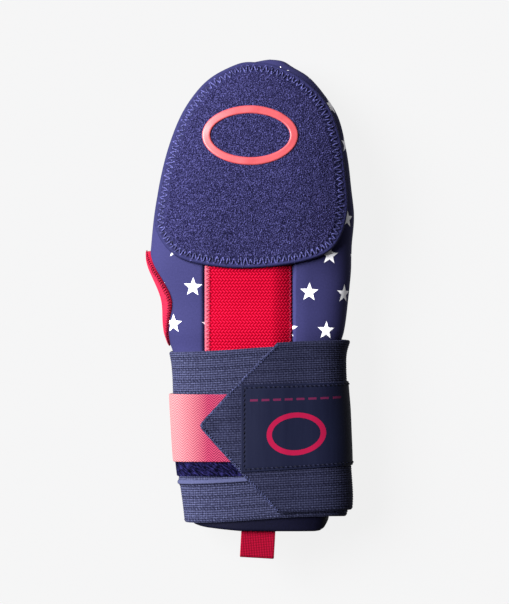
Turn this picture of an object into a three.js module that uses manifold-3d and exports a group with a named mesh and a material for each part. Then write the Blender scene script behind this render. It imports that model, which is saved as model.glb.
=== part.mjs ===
// Sliding mitt for baseball and softball, lying on its back with the fingertips towards +Y.
// Lengths are in millimetres. X runs across the mitt, Y from the wrist hem to the fingertips,
// Z from the surface that it lies on to the upper side.
import * as THREE from 'three';
import { mergeVertices } from 'three/addons/utils/BufferGeometryUtils.js';
import Module from 'manifold-3d';

const wasm = await Module();
wasm.setup();

// Sizes along the mitt, from the hem to the fingertips
const hemShow = 5.3;
const strapWidth = 99;
const bridgeLength = 45.9;
const padLength = 121;
const tipShow = 0.8;

// The body
const mittWidth = 118;
const mittDepth = 43;
const padWall = 5.5;
const cuffWall = 3.2;
const tipWall = 7;
const restDepth = 1.6;
const hemRise = 6;

// Layers sewn or wrapped on the body
const clearance = 0.3;
const padThickness = 3.5;
const padMargin = 8.7;
const badgeLength = 54;
const badgeHeight = 34;
const badgeBand = 4.6;
const badgeThickness = 0.9;
const badgeDrop = 44;
const elasticWidth = 50.8;
const elasticThickness = 1.5;
const elasticTuck = 7;
const elasticShift = -1;
const strapThickness = 2.2;
const wrapShift = 3.6;
const strapTilt = 0.04;
const pointReach = 29.7;
const pointLength = 46;
const pointRise = 2.5;
const wrapEndReach = 30;
const tapeWidth = 39;
const tapeThickness = 1;
const tapeDrop = 26.5;
const loopShow = 8.3;
const loopThickness = 0.7;
const tapeTuck = 33;
const labelWidth = 62;
const labelHeight = 50.4;
const labelThickness = 0.9;
const labelInset = 24.5;
const rampLength = 30;

// The thumb hole and its binding
const holeLength = 45;
const holeHeight = 24;
const bindingWidth = 5;
const bindingDepth = 1.8;
const bindingLip = 0.8;
const bindingClear = 1.2;
const holeReach = 22;

// The pull tab
const tabWidth = 19.7;
const tabLength = 16.5;
const tabRoot = 9;
const tabWebbing = 1.1;
const tabLoop = 1.2;
const tabOffset = 4.6;
const tabSkew = -3.3;

// How finely the curved pieces are faceted
const ringSides = 40;
const rowSteps = 2;
const hollowSides = 28;
const outlinePoints = 40;

const mittLength = hemShow + strapWidth + bridgeLength + padLength + tipShow;
const strapTop = hemShow + strapWidth;
const padFoot = strapTop + bridgeLength;
const strapStack = 2 * (clearance + strapThickness);
const beyond = mittLength;

// Sections from the hem to the fingertips. along is a share of the length, left and right are
// shares of half the width, low and high shares of the depth, lift is a share of the straps that
// pass underneath, and wall goes from the cuff's wall at 0 to the padded wall at 1.
const sections = [
  { along: 0, left: 0.6, right: 0.84, low: 0, high: 0.75, lift: 1, wall: 0 },
  { along: 0.045, left: 0.62, right: 0.92, low: 0, high: 0.755, lift: 1, wall: 0 },
  { along: 0.137, left: 0.68, right: 0.905, low: 0, high: 0.76, lift: 1, wall: 0.1 },
  { along: 0.25, left: 0.715, right: 0.885, low: 0, high: 0.76, lift: 1, wall: 0.2 },
  { along: 0.36, left: 0.745, right: 0.855, low: 0, high: 0.78, lift: 1, wall: 0.5 },
  { along: 0.42, left: 0.855, right: 0.925, low: 0, high: 0.83, lift: 1, wall: 0.8 },
  { along: 0.48, left: 0.965, right: 0.965, low: 0, high: 0.89, lift: 0.35, wall: 1 },
  { along: 0.54, left: 1.005, right: 0.985, low: 0, high: 0.96, lift: 0, wall: 1 },
  { along: 0.6, left: 0.975, right: 0.995, low: 0, high: 0.99, lift: 0, wall: 1 },
  { along: 0.67, left: 0.94, right: 1.02, low: 0, high: 1, lift: 0, wall: 1 },
  { along: 0.74, left: 0.885, right: 0.99, low: 0, high: 0.985, lift: 0, wall: 1 },
  { along: 0.81, left: 0.8, right: 0.942, low: 0, high: 0.93, lift: 0, wall: 1 },
  { along: 0.875, left: 0.68, right: 0.855, low: 0.03, high: 0.85, lift: 0, wall: 1 },
  { along: 0.925, left: 0.525, right: 0.725, low: 0.09, high: 0.76, lift: 0, wall: 1 },
  { along: 0.96, left: 0.355, right: 0.585, low: 0.15, high: 0.68, lift: 0, wall: 1 },
  { along: 0.983, left: 0.17, right: 0.42, low: 0.21, high: 0.6, lift: 0, wall: 1 },
  { along: 0.996, left: -0.08, right: 0.32, low: 0.28, high: 0.51, lift: 0, wall: 1 },
  { along: 1, left: -0.19, right: 0.19, low: 0.39, high: 0.39, lift: 0, wall: 1 },
];

// The pad's outline. across is a share of half its width and along a share of its length.
const padOutline = [
  { across: 0, along: 0 },
  { across: 0.55, along: 0.031 },
  { across: 0.86, along: 0.1 },
  { across: 1, along: 0.26 },
  { across: 0.96, along: 0.46 },
  { across: 0.87, along: 0.64 },
  { across: 0.67, along: 0.795 },
  { across: 0.38, along: 0.935 },
  { across: 0.125, along: 1 },
  { across: -0.155, along: 0.985 },
  { across: -0.43, along: 0.907 },
  { across: -0.65, along: 0.79 },
  { across: -0.865, along: 0.57 },
  { across: -0.985, along: 0.33 },
  { across: -0.97, along: 0.175 },
  { across: -0.79, along: 0.062 },
  { across: -0.48, along: 0.015 },
];

// How square the sections are: 2 is an ellipse
const squareRatio = 2.7;
const seamShare = 0.5;
const seamOverlapShare = 0.1;
const padSeamShare = 0.76;

// A value on the smooth curve through a column of the table
function smooth(before, start, end, after, share) {
  const bend = 2 * before - 5 * start + 4 * end - after;
  const twist = -before + 3 * start - 3 * end + after;
  return 0.5 * (2 * start + share * (end - before + share * (bend + share * twist)));
}

// The table's sections with more between them, as real lengths
function makeRows() {
  const columns = Object.keys(sections[0]);
  const rows = [];
  const last = sections.length - 1;
  for (let step = 0; step <= last * rowSteps; step += 1) {
    const index = Math.min(Math.floor(step / rowSteps), last - 1);
    const share = step / rowSteps - index;
    const near = [-1, 0, 1, 2].map((shift) => sections[THREE.MathUtils.clamp(index + shift, 0, last)]);
    const at = {};
    for (const column of columns) {
      at[column] = smooth(...near.map((section) => section[column]), share);
    }
    const lift = Math.max(0, at.lift) * strapStack;
    const under = Math.max(0, at.low) * mittDepth + lift;
    const over = Math.max(under, at.high * mittDepth + lift);
    const dent = restDepth * Math.min(1, (over - under) / mittDepth * 2);
    rows.push({
      y: at.along * mittLength,
      middle: (at.right - at.left) * mittWidth / 4,
      half: (at.right + at.left) * mittWidth / 4,
      under,
      centre: (over + under - dent) / 2,
      rise: (over - under + dent) / 2,
      wall: cuffWall + (padWall - cuffWall) * THREE.MathUtils.clamp(at.wall, 0, 1),
    });
  }
  // How far each row leans forwards, from upright sides at 0 to the fingertips' end at a right angle
  rows.forEach((row, index) => {
    const next = rows[Math.min(index + 1, rows.length - 1)];
    const previous = rows[Math.max(index - 1, 0)];
    const narrowing = previous.half - next.half;
    row.lean = index === rows.length - 1 ? Math.PI / 2 : Math.max(0, Math.atan2(narrowing, next.y - previous.y));
  });
  return rows;
}

const rows = makeRows();

// A measure of the body at a place along it, between the two nearest rows
function measureAt(name, y) {
  const next = THREE.MathUtils.clamp(rows.findIndex((row) => row.y > y), 1, rows.length - 1);
  const [from, to] = [rows[next - 1], rows[next]];
  const share = THREE.MathUtils.clamp((y - from.y) / (to.y - from.y), 0, 1);
  return from[name] + share * (to[name] - from[name]);
}

// One section's points, grown outwards by grow(x, above)
function sectionPoints(row, sides, grow, y) {
  const points = [];
  const power = 2 / squareRatio;
  for (let side = 0; side < sides; side += 1) {
    const turn = 2 * Math.PI * side / sides;
    const across = Math.sign(Math.cos(turn)) * Math.abs(Math.cos(turn)) ** power;
    const up = Math.sign(Math.sin(turn)) * Math.abs(Math.sin(turn)) ** power;
    const by = grow(row.middle + row.half * across, up > 0);
    const x = row.middle + (row.half + by.across) * across;
    const z = row.centre + (row.rise + by.up) * up;
    points.push(new THREE.Vector3(x, y + by.forward, Math.max(z, row.under - by.up)));
  }
  return points;
}

// A three.js geometry as a solid that can be cut and joined
function toSolid(geometry) {
  geometry.deleteAttribute('normal');
  geometry.deleteAttribute('uv');
  const merged = mergeVertices(geometry, 1e-4);
  return new wasm.Manifold(new wasm.Mesh({
    numProp: 3,
    vertProperties: new Float32Array(merged.attributes.position.array),
    triVerts: new Uint32Array(merged.index.array),
  }));
}

// A closed solid through rings of points: a flat cap at the first ring and a point at the last
function solidThrough(rings, tip) {
  const sides = rings[0].length;
  const foot = new THREE.Vector3();
  rings[0].forEach((point) => foot.addScaledVector(point, 1 / sides));
  const points = [...rings.flat(), foot, tip];
  const [footIndex, tipIndex] = [points.length - 2, points.length - 1];
  const top = (rings.length - 1) * sides;
  const faces = [];
  for (let side = 0; side < sides; side += 1) {
    const next = (side + 1) % sides;
    faces.push(footIndex, side, next);
    faces.push(tipIndex, top + next, top + side);
    for (let ring = 0; ring < rings.length - 1; ring += 1) {
      const low = ring * sides;
      const high = low + sides;
      faces.push(low + side, high + side, high + next);
      faces.push(low + side, high + next, low + next);
    }
  }
  const geometry = new THREE.BufferGeometry().setFromPoints(points);
  geometry.setIndex(faces);
  return toSolid(geometry);
}

// The whole body grown outwards by offset(x, above), reaching past the hem
function grownBody(offset, reach = clearance) {
  const growFor = (row) => (x, above) => {
    const by = offset(x, above);
    return {
      across: by * Math.cos(row.lean),
      up: by * Math.cos(row.lean),
      forward: by * Math.sin(row.lean),
    };
  };
  const body = rows.slice(0, -1).map((row) => sectionPoints(row, ringSides, growFor(row), row.y));
  const end = rows[rows.length - 1];
  const hem = sectionPoints(rows[0], ringSides, growFor(rows[0]), -reach);
  const tip = new THREE.Vector3(end.middle, end.y + offset(end.middle, true), end.centre);
  return solidThrough([hem, ...body], tip);
}

// The room inside the body, made smaller by inset
function hollowBody(inset, reach = 2 * clearance) {
  const growFor = (row) => () => ({
    across: -(row.wall + inset) * row.half / (mittWidth / 2),
    up: -(row.wall + inset) * row.rise / (mittDepth / 2),
    forward: 0,
  });
  const shorten = (mittLength - tipWall - inset) / mittLength;
  const picked = rows.filter((row, index) => index % rowSteps === 0);
  const body = picked.slice(0, -1)
    .map((row) => sectionPoints(row, hollowSides, growFor(row), row.y * shorten));
  const end = rows[rows.length - 1];
  const hem = sectionPoints(rows[0], hollowSides, growFor(rows[0]), -reach);
  const tip = new THREE.Vector3(end.middle, end.y * shorten, end.centre);
  return solidThrough([hem, ...body], tip);
}

const even = (offset) => () => offset;

// The layer of the body between two offsets
function layer(inner, outer) {
  return grownBody(outer).subtract(grownBody(inner, 2 * clearance));
}

// A plan outline carried up through the whole body, between two heights
function throughPlan(points, from = -beyond, to = beyond) {
  const shape = new THREE.Shape(points.map(([x, y]) => new THREE.Vector2(x, y)));
  const geometry = new THREE.ExtrudeGeometry(shape, { depth: to - from, bevelEnabled: false });
  geometry.translate(0, 0, from);
  return toSolid(geometry);
}

// A side outline, as pairs of y and z, carried across from one x to another
function throughSide(points, from = -beyond, to = beyond) {
  const shape = new THREE.Shape(points.map(([y, z]) => new THREE.Vector2(y, z)));
  const geometry = new THREE.ExtrudeGeometry(shape, { depth: to - from, bevelEnabled: false });
  geometry.applyMatrix4(new THREE.Matrix4().set(0, 0, 1, from, 1, 0, 0, 0, 0, 1, 0, 0, 0, 0, 0, 1));
  return toSolid(geometry);
}

// All that lies above a share of the body's depth, along its whole length
function above(share) {
  const line = rows.map((row) => [row.y, row.centre + row.rise * (2 * share - 1)]);
  const [first, last] = [line[0][1], line[line.length - 1][1]];
  return throughSide([[-beyond, first], ...line, [2 * beyond, last], [2 * beyond, beyond], [-beyond, beyond]]);
}

function rectangle(left, right, low, high) {
  return [[left, low], [right, low], [right, high], [left, high]];
}

// An ellipse round a centre
function ellipse(x, y, width, height) {
  const curve = new THREE.EllipseCurve(x, y, width / 2, height / 2);
  return curve.getPoints(outlinePoints).slice(0, -1).map((point) => [point.x, point.y]);
}

// The thumb hole's outline from the side, widened all round
const holeMiddle = strapTop + bindingClear + bindingWidth + holeLength / 2;
const holeHeightMiddle = measureAt('centre', holeMiddle);
const holeEnd = measureAt('middle', holeMiddle) - measureAt('half', holeMiddle) + holeReach;

function holeOutline(endRoom, sideRoom) {
  return ellipse(holeMiddle, holeHeightMiddle, holeLength + 2 * endRoom, holeHeight + 2 * sideRoom);
}

// A strap's plan: parallel edges that rise a little towards the right
function strapPlan(left, right, low, width) {
  return [
    [left, low + strapTilt * left],
    [right, low + strapTilt * right],
    [right, low + width + strapTilt * right],
    [left, low + width + strapTilt * left],
  ];
}

// The outer wrap stands off further where the tape lies under its pointed end
const besideTape = clearance + strapThickness + clearance;
const overTape = besideTape + loopThickness + clearance + tapeThickness + clearance;
const tapeEnd = tapeTuck - pointReach;

function outerStandOff(x, above) {
  const share = 1 - THREE.MathUtils.smoothstep(x, tapeEnd, tapeEnd + rampLength);
  return besideTape + (above ? share * (overTape - besideTape) : 0);
}

// The padded shell, open at the wrist and at the thumb hole
function makeShell() {
  const foot = [];
  const hemPoints = outlinePoints / 2;
  for (let step = 0; step <= hemPoints; step += 1) {
    const share = 2 * step / hemPoints - 1;
    foot.push([rows[0].middle + share * rows[0].half, hemRise * share ** 4]);
  }
  const belowHem = [[-beyond, hemRise], ...foot, [beyond, hemRise], [beyond, -beyond], [-beyond, -beyond]];
  const hole = throughSide(
    holeOutline(bindingWidth + clearance, bindingDepth + clearance),
    -beyond,
    holeEnd + clearance,
  );
  const recess = layer(even(-elasticThickness - clearance), even(clearance))
    .intersect(throughPlan(elasticPlan(clearance)))
    .intersect(above(seamShare));
  return grownBody(even(0)).subtract(hollowBody(0)).subtract(throughPlan(belowHem)).subtract(hole).subtract(recess);
}

// The knitted elastic's plan, widened all round
function elasticPlan(room) {
  const half = elasticWidth / 2 + room;
  const low = strapTop - elasticTuck - room;
  return rectangle(elasticShift - half, elasticShift + half, low, padFoot + elasticTuck + room);
}

function makeElastic() {
  return layer(even(-elasticThickness), even(0)).intersect(throughPlan(elasticPlan(0))).intersect(above(seamShare));
}

const padTop = clearance + padThickness;

function makePad() {
  const half = (mittWidth - padMargin) / 2;
  const points = padOutline.map(({ across, along }) =>
    new THREE.Vector3(across * half, padFoot + along * padLength, 0));
  const curve = new THREE.CatmullRomCurve3(points, true, 'centripetal');
  const outline = curve.getPoints(outlinePoints).slice(0, -1).map((point) => [point.x, point.y]);
  return layer(even(clearance), even(padTop)).intersect(throughPlan(outline)).intersect(above(padSeamShare));
}

// A plain raised oval ring on the pad
function makeBadge() {
  const middle = padFoot + padLength - badgeDrop;
  const outer = ellipse(0, middle, badgeLength, badgeHeight);
  const inner = ellipse(0, middle, badgeLength - 2 * badgeBand, badgeHeight - 2 * badgeBand);
  return layer(even(padTop + clearance), even(padTop + clearance + badgeThickness))
    .intersect(throughPlan(outer))
    .subtract(throughPlan(inner))
    .intersect(above(padSeamShare));
}

// The folded tape round the edge of the thumb hole
function makeBinding() {
  const outer = throughSide(holeOutline(bindingWidth, bindingDepth), -beyond, holeEnd);
  const inner = throughSide(holeOutline(0, 0));
  return grownBody(even(bindingLip)).subtract(hollowBody(bindingLip)).intersect(outer).subtract(inner);
}

function makeInnerStrap() {
  return layer(even(clearance), even(clearance + strapThickness))
    .intersect(throughPlan(strapPlan(-beyond, beyond, hemShow, strapWidth)));
}

// What reaches round the left side and stops underneath
function roundLeftSide() {
  return above(seamShare).add(throughPlan(rectangle(-beyond, -wrapEndReach - clearance, -beyond, 2 * beyond)));
}

function makeLoopStrip() {
  const tapeLow = strapTop - tapeDrop - tapeWidth;
  return layer(even(besideTape), even(besideTape + loopThickness))
    .intersect(throughPlan(rectangle(-beyond, tapeEnd, tapeLow - loopShow, tapeLow + tapeWidth - loopShow)))
    .intersect(roundLeftSide());
}

function makeTape() {
  const tapeLow = strapTop - tapeDrop - tapeWidth;
  const under = besideTape + loopThickness + clearance;
  return layer(even(under), even(under + tapeThickness))
    .intersect(throughPlan(rectangle(-beyond, tapeEnd, tapeLow, tapeLow + tapeWidth)))
    .intersect(roundLeftSide());
}

// The outer wrap, from its pointed end over the right side to its end underneath
function makeOuterStrap() {
  const low = hemShow + wrapShift;
  const band = strapPlan(-beyond, beyond, low, strapWidth);
  const shoulder = pointLength - pointReach;
  const tip = [-pointReach, low + strapWidth / 2 + pointRise];
  const pointed = [
    tip,
    [shoulder, low + strapTilt * shoulder],
    [beyond, low + strapTilt * beyond],
    [beyond, low + strapWidth + strapTilt * beyond],
    [shoulder, low + strapWidth + strapTilt * shoulder],
  ];
  const upper = throughPlan(pointed).intersect(above(seamShare));
  const lower = throughPlan(rectangle(-wrapEndReach, beyond, -beyond, 2 * beyond))
    .subtract(above(seamShare + seamOverlapShare));
  return layer(outerStandOff, (x, over) => outerStandOff(x, over) + strapThickness)
    .intersect(throughPlan(band))
    .intersect(upper.add(lower));
}

// The woven patch on the outer wrap, with its plain printed front left bare
function makeLabel() {
  const left = labelInset - pointReach;
  const low = hemShow + wrapShift + (strapWidth - labelHeight) / 2;
  const foot = (x, over) => outerStandOff(x, over) + strapThickness + clearance;
  return layer(foot, (x, over) => foot(x, over) + labelThickness)
    .intersect(throughPlan(strapPlan(left, left + labelWidth, low, labelHeight)))
    .intersect(above(seamShare));
}

// A loop of webbing folded flat, held inside the hem
function makeTab() {
  const outside = 2 * tabWebbing + tabLoop;
  const round = outside / 2;
  const side = new THREE.Shape();
  side.moveTo(tabRoot, 0);
  side.lineTo(tabRoot, outside);
  side.lineTo(round - tabLength, outside);
  side.absarc(round - tabLength, round, round, Math.PI / 2, 3 * Math.PI / 2, false);
  side.closePath();
  const eye = new THREE.Path();
  const eyeRound = tabLoop / 2;
  eye.moveTo(-tabWebbing, round);
  eye.lineTo(round - tabLength, round + eyeRound);
  eye.absarc(round - tabLength, round, eyeRound, Math.PI / 2, 3 * Math.PI / 2, false);
  eye.closePath();
  side.holes.push(eye);
  const geometry = new THREE.ExtrudeGeometry(side, {
    depth: tabWidth,
    bevelEnabled: false,
    curveSegments: 6,
  });
  geometry.applyMatrix4(new THREE.Matrix4().set(0, 0, 1, -tabWidth / 2, 1, 0, 0, 0, 0, 1, 0, 0, 0, 0, 0, 1));
  return toSolid(geometry);
}

function material(color, roughness, metalness = 0) {
  return new THREE.MeshStandardMaterial({ color, roughness, metalness });
}

const materials = {
  starFabric: material(0x3c3c72, 0.75),
  terry: material(0x37345f, 0.95),
  coral: material(0xf0686c, 0.45),
  redKnit: material(0xe01c3c, 0.85),
  webbing: material(0xb8122f, 0.8),
  strapKnit: material(0x3a3d60, 0.9),
  loopPile: material(0x17153d, 1),
  twill: material(0xee6e84, 0.8),
  wovenLabel: material(0x262a45, 0.6),
};

const mitt = new THREE.Group();

// Adds one piece to the mitt
function addPiece(name, solid, look) {
  const mesh = solid.getMesh();
  const geometry = new THREE.BufferGeometry();
  geometry.setAttribute('position', new THREE.BufferAttribute(new Float32Array(mesh.vertProperties), 3));
  geometry.setIndex(new THREE.BufferAttribute(new Uint32Array(mesh.triVerts), 1));
  geometry.computeVertexNormals();
  const piece = new THREE.Mesh(geometry, look);
  piece.name = name;
  mitt.add(piece);
  return piece;
}

addPiece('hand_shell', makeShell(), materials.starFabric);
addPiece('terry_panel', makePad(), materials.terry);
addPiece('badge_ring', makeBadge(), materials.coral);
addPiece('elastic_panel', makeElastic(), materials.redKnit);
addPiece('thumb_binding', makeBinding(), materials.redKnit);
addPiece('strap_inner', makeInnerStrap(), materials.strapKnit);
addPiece('loop_strip', makeLoopStrip(), materials.loopPile);
addPiece('keeper_tape', makeTape(), materials.twill);
addPiece('strap_outer', makeOuterStrap(), materials.strapKnit);
addPiece('label_patch', makeLabel(), materials.wovenLabel);

// The tab hangs from the inner side of the upper wall at the hem
const tab = addPiece('pull_tab', makeTab(), materials.webbing);
const hemRow = rows[0];
const wallAtHem = hemRow.wall * hemRow.rise / (mittDepth / 2);
tab.position.set(tabOffset, 0, hemRow.centre + hemRow.rise - wallAtHem - 2 * clearance - 2 * tabWebbing - tabLoop);
tab.rotation.z = THREE.MathUtils.degToRad(tabSkew);

// The origin goes to the middle of the underside
mitt.updateMatrixWorld(true);
const bounds = new THREE.Box3().setFromObject(mitt);
const middle = bounds.getCenter(new THREE.Vector3());
mitt.position.set(-middle.x, -middle.y, -bounds.min.z);

export default mitt;
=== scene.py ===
# Sliding mitt: a padded hand guard in star-printed fabric, lying on its back on a pale studio floor.
import bmesh
import bpy
import math
import numpy as np
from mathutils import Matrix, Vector
from mathutils.kdtree import KDTree


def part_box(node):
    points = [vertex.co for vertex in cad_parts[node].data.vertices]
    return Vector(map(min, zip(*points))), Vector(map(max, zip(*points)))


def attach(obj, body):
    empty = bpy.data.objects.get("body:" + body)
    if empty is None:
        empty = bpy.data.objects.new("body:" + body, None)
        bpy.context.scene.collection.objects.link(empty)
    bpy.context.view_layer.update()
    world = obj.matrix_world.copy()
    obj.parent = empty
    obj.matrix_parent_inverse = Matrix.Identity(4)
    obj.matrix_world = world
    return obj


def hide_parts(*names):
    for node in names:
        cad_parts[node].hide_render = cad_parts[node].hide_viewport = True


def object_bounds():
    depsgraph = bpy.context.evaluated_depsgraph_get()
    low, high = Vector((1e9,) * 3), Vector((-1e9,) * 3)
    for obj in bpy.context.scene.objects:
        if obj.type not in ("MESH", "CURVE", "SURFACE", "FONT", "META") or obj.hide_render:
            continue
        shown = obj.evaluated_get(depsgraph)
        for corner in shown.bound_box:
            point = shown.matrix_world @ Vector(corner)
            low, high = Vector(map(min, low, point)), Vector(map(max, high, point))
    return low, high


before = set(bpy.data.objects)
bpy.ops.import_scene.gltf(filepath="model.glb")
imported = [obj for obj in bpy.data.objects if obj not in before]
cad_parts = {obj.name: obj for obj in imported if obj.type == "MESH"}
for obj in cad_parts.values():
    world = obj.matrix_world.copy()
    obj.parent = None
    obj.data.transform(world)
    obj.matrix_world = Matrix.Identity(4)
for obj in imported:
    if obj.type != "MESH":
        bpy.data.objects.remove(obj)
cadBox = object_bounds()
mm = 0.001
print("stage: frame loaded")


# Surfaces

# The body's own sizes in millimetres, and its sections from the hem to the fingertips.
# along is a share of the length, left and right are shares of half the width, low and high
# shares of the depth, and lift is a share of the straps that pass underneath.
body = {
    "length": 272,
    "width": 118,
    "depth": 43,
    "square": 2.7,
    "restDent": 1.6,
    "straps": 5,
    "padWall": 5.5,
    "cuffWall": 3.2,
    "tipWall": 7,
    "columns": ("along", "left", "right", "low", "high", "lift", "wall"),
    "sections": (
        (0, 0.6, 0.84, 0, 0.75, 1, 0),
        (0.045, 0.62, 0.92, 0, 0.755, 1, 0),
        (0.137, 0.68, 0.905, 0, 0.76, 1, 0.1),
        (0.25, 0.715, 0.885, 0, 0.76, 1, 0.2),
        (0.36, 0.745, 0.855, 0, 0.78, 1, 0.5),
        (0.42, 0.855, 0.925, 0, 0.83, 1, 0.8),
        (0.48, 0.965, 0.965, 0, 0.89, 0.35, 1),
        (0.54, 1.005, 0.985, 0, 0.96, 0, 1),
        (0.6, 0.975, 0.995, 0, 0.99, 0, 1),
        (0.67, 0.94, 1.02, 0, 1, 0, 1),
        (0.74, 0.885, 0.99, 0, 0.985, 0, 1),
        (0.81, 0.8, 0.942, 0, 0.93, 0, 1),
        (0.875, 0.68, 0.855, 0.03, 0.85, 0, 1),
        (0.925, 0.525, 0.725, 0.09, 0.76, 0, 1),
        (0.96, 0.355, 0.585, 0.15, 0.68, 0, 1),
        (0.983, 0.17, 0.42, 0.21, 0.6, 0, 1),
        (0.996, -0.08, 0.32, 0.28, 0.51, 0, 1),
        (1, -0.19, 0.19, 0.39, 0.39, 0, 1),
    ),
    "stepsBetween": 12,
    "girthSamples": 385,
}

# Where the frame puts the mitt's axis and its hem
elasticShift = -1
shiftX = (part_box("elastic_panel")[0][0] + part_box("elastic_panel")[1][0]) / 2 - elasticShift * mm
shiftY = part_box("hand_shell")[1][1] - body["length"] * mm


# A smooth stretch from start to end that also heads for the points before and after them
def smoothStretch(before, start, end, after, share):
    bend = 2 * before - 5 * start + 4 * end - after
    twist = -before + 3 * start - 3 * end + after
    return 0.5 * (2 * start + share * (end - before + share * (bend + share * twist)))


def smoothColumn(values, steps):
    padded = np.concatenate([values[:1], values, values[-1:]])
    share = np.arange(steps) / steps
    pieces = []
    for before, start, end, after in zip(padded, padded[1:], padded[2:], padded[3:]):
        pieces.append(smoothStretch(before, start, end, after, share))
    return np.concatenate(pieces + [values[-1:]])


def makeRows():
    table = np.array(body["sections"], float)
    at = {name: smoothColumn(table[:, k], body["stepsBetween"]) for k, name in enumerate(body["columns"])}
    lift = np.maximum(0, at["lift"]) * body["straps"]
    under = np.maximum(0, at["low"]) * body["depth"] + lift
    over = np.maximum(under, at["high"] * body["depth"] + lift)
    dent = body["restDent"] * np.minimum(1, (over - under) / body["depth"] * 2)
    return {
        "y": at["along"] * body["length"],
        "middle": (at["right"] - at["left"]) * body["width"] / 4,
        "half": (at["right"] + at["left"]) * body["width"] / 4,
        "under": under,
        "centre": (over + under - dent) / 2,
        "rise": (over - under + dent) / 2,
        "wall": body["cuffWall"] + (body["padWall"] - body["cuffWall"]) * np.clip(at["wall"], 0, 1),
    }


rows = makeRows()


def rowAt(name, y):
    return np.interp(y, rows["y"], rows[name])


# Each section resampled evenly by its girth, from the middle of the underside over the left side
def makeGirths(inset=0):
    turn = np.linspace(-1, 1, 4 * body["girthSamples"]) * math.pi
    power = 2 / body["square"]
    across = np.sign(np.sin(turn)) * np.abs(np.sin(turn)) ** power
    up = np.sign(np.cos(turn)) * np.abs(np.cos(turn)) ** power
    tables = {"x": [], "z": [], "girth": [], "zero": []}
    even = np.linspace(0, 1, body["girthSamples"])
    for k in range(len(rows["y"])):
        shrink = inset * rows["wall"][k]
        width = rows["half"][k] * (1 - shrink / (body["width"] / 2))
        height = rows["rise"][k] * (1 - shrink / (body["depth"] / 2))
        x = rows["middle"][k] + width * across
        z = np.maximum(rows["centre"][k] + height * up, rows["under"][k] + rows["rise"][k] - height)
        length = np.concatenate([[0], np.cumsum(np.hypot(np.diff(x), np.diff(z)))])
        girth = max(length[-1], 1e-6)
        upper = slice(body["girthSamples"], 3 * body["girthSamples"])
        tables["x"].append(np.interp(even * girth, length, x))
        tables["z"].append(np.interp(even * girth, length, z))
        tables["girth"].append(girth)
        tables["zero"].append(np.interp(0, x[upper], length[upper]))
    return {name: np.array(values) for name, values in tables.items()}


girths = makeGirths()


def girthAt(name, y):
    return np.interp(y, rows["y"], girths[name])


# A point of the body: u is the length round the section from the mitt's axis on the upper side
def wrapPoint(u, y):
    u, y = np.broadcast_arrays(np.asarray(u, float), np.asarray(y, float))
    last = len(rows["y"]) - 2
    low = np.clip(np.searchsorted(rows["y"], y) - 1, 0, last)
    share = (y - rows["y"][low]) / (rows["y"][low + 1] - rows["y"][low])
    total = np.zeros(u.shape + (2,))
    samples = body["girthSamples"] - 1
    for row, weight in ((low, 1 - share), (low + 1, share)):
        place = np.mod((u + girths["zero"][row]) / girths["girth"][row], 1) * samples
        near = np.minimum(place.astype(int), samples - 1)
        rest = place - near
        for k, name in enumerate(("x", "z")):
            table = girths[name]
            total[..., k] += weight * (table[row, near] * (1 - rest) + table[row, near + 1] * rest)
    return np.stack([total[..., 0], y, total[..., 1]], -1)


# The point of the upper side over a place in plan
def topPoint(x, y):
    x, y = np.broadcast_arrays(np.asarray(x, float), np.asarray(y, float))
    across = np.clip(np.abs((x - rowAt("middle", y)) / np.maximum(rowAt("half", y), 0.01)), 0, 0.9985)
    z = rowAt("centre", y) + rowAt("rise", y) * (1 - across ** body["square"]) ** (1 / body["square"])
    return np.stack([x, y, z], -1)


def unit(vectors):
    return vectors / np.maximum(np.linalg.norm(vectors, axis=-1, keepdims=True), 1e-9)


# Unit normals of the body at a length round it
def wrapNormal(u, y, reach=0.4):
    across = wrapPoint(u + reach, y) - wrapPoint(u - reach, y)
    along = wrapPoint(u, y + reach) - wrapPoint(u, y - reach)
    return unit(np.cross(across, along))


# The length round the section at a place in plan
def wrapLength(x, y):
    x, y = np.broadcast_arrays(np.asarray(x, float), np.asarray(y, float))
    answer = np.zeros(x.shape)
    quarter = body["girthSamples"] // 4
    for index in np.ndindex(x.shape):
        row = int(np.clip(np.searchsorted(rows["y"], y[index]), 1, len(rows["y"]) - 1))
        line = girths["x"][row][quarter:3 * quarter]
        order = np.argsort(line)
        step = girths["girth"][row] / (body["girthSamples"] - 1)
        place = np.interp(x[index], line[order], (np.arange(quarter, 3 * quarter) * step)[order])
        answer[index] = place - girths["zero"][row]
    return answer


# Unit normals of a grid of points whose columns run to the right and rows to the fingertips
def gridNormals(points, closed=False):
    if closed:
        across = np.roll(points, -1, 1) - np.roll(points, 1, 1)
    else:
        across = np.gradient(points, axis=1)
    along = np.gradient(points, axis=0)
    return unit(np.cross(across, along))


# Steps from 0 to length, close together near both ends, where an edge is rounded
def edgeSteps(length, radius, count, near=(0, 0.04, 0.14, 0.32, 0.6, 1)):
    ends = np.array(near) * radius
    middle = np.linspace(radius, length - radius, count)[1:-1]
    return np.concatenate([ends, middle, length - ends[::-1]])


# How full a rounded edge is at a distance from it
def roundness(distance, radius):
    return np.sqrt(np.clip(1 - (1 - np.clip(distance / radius, 0, 1)) ** 2, 0, 1))


# Slow random waves with a fixed seed, between about -1 and 1
def waves(x, y, size, seed, count=14):
    draw = np.random.default_rng(seed)
    total = np.zeros(np.broadcast(x, y).shape)
    for k in range(count):
        angle = draw.uniform(0, 2 * math.pi)
        length = size * draw.uniform(0.6, 1.8)
        phase = draw.uniform(0, 2 * math.pi)
        total += np.sin((x * math.cos(angle) + y * math.sin(angle)) * 2 * math.pi / length + phase)
    return total / math.sqrt(count)


# Meshes

def toFrame(points):
    return (np.asarray(points) * mm + np.array([shiftX, shiftY, 0])).reshape(-1, 3)


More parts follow.
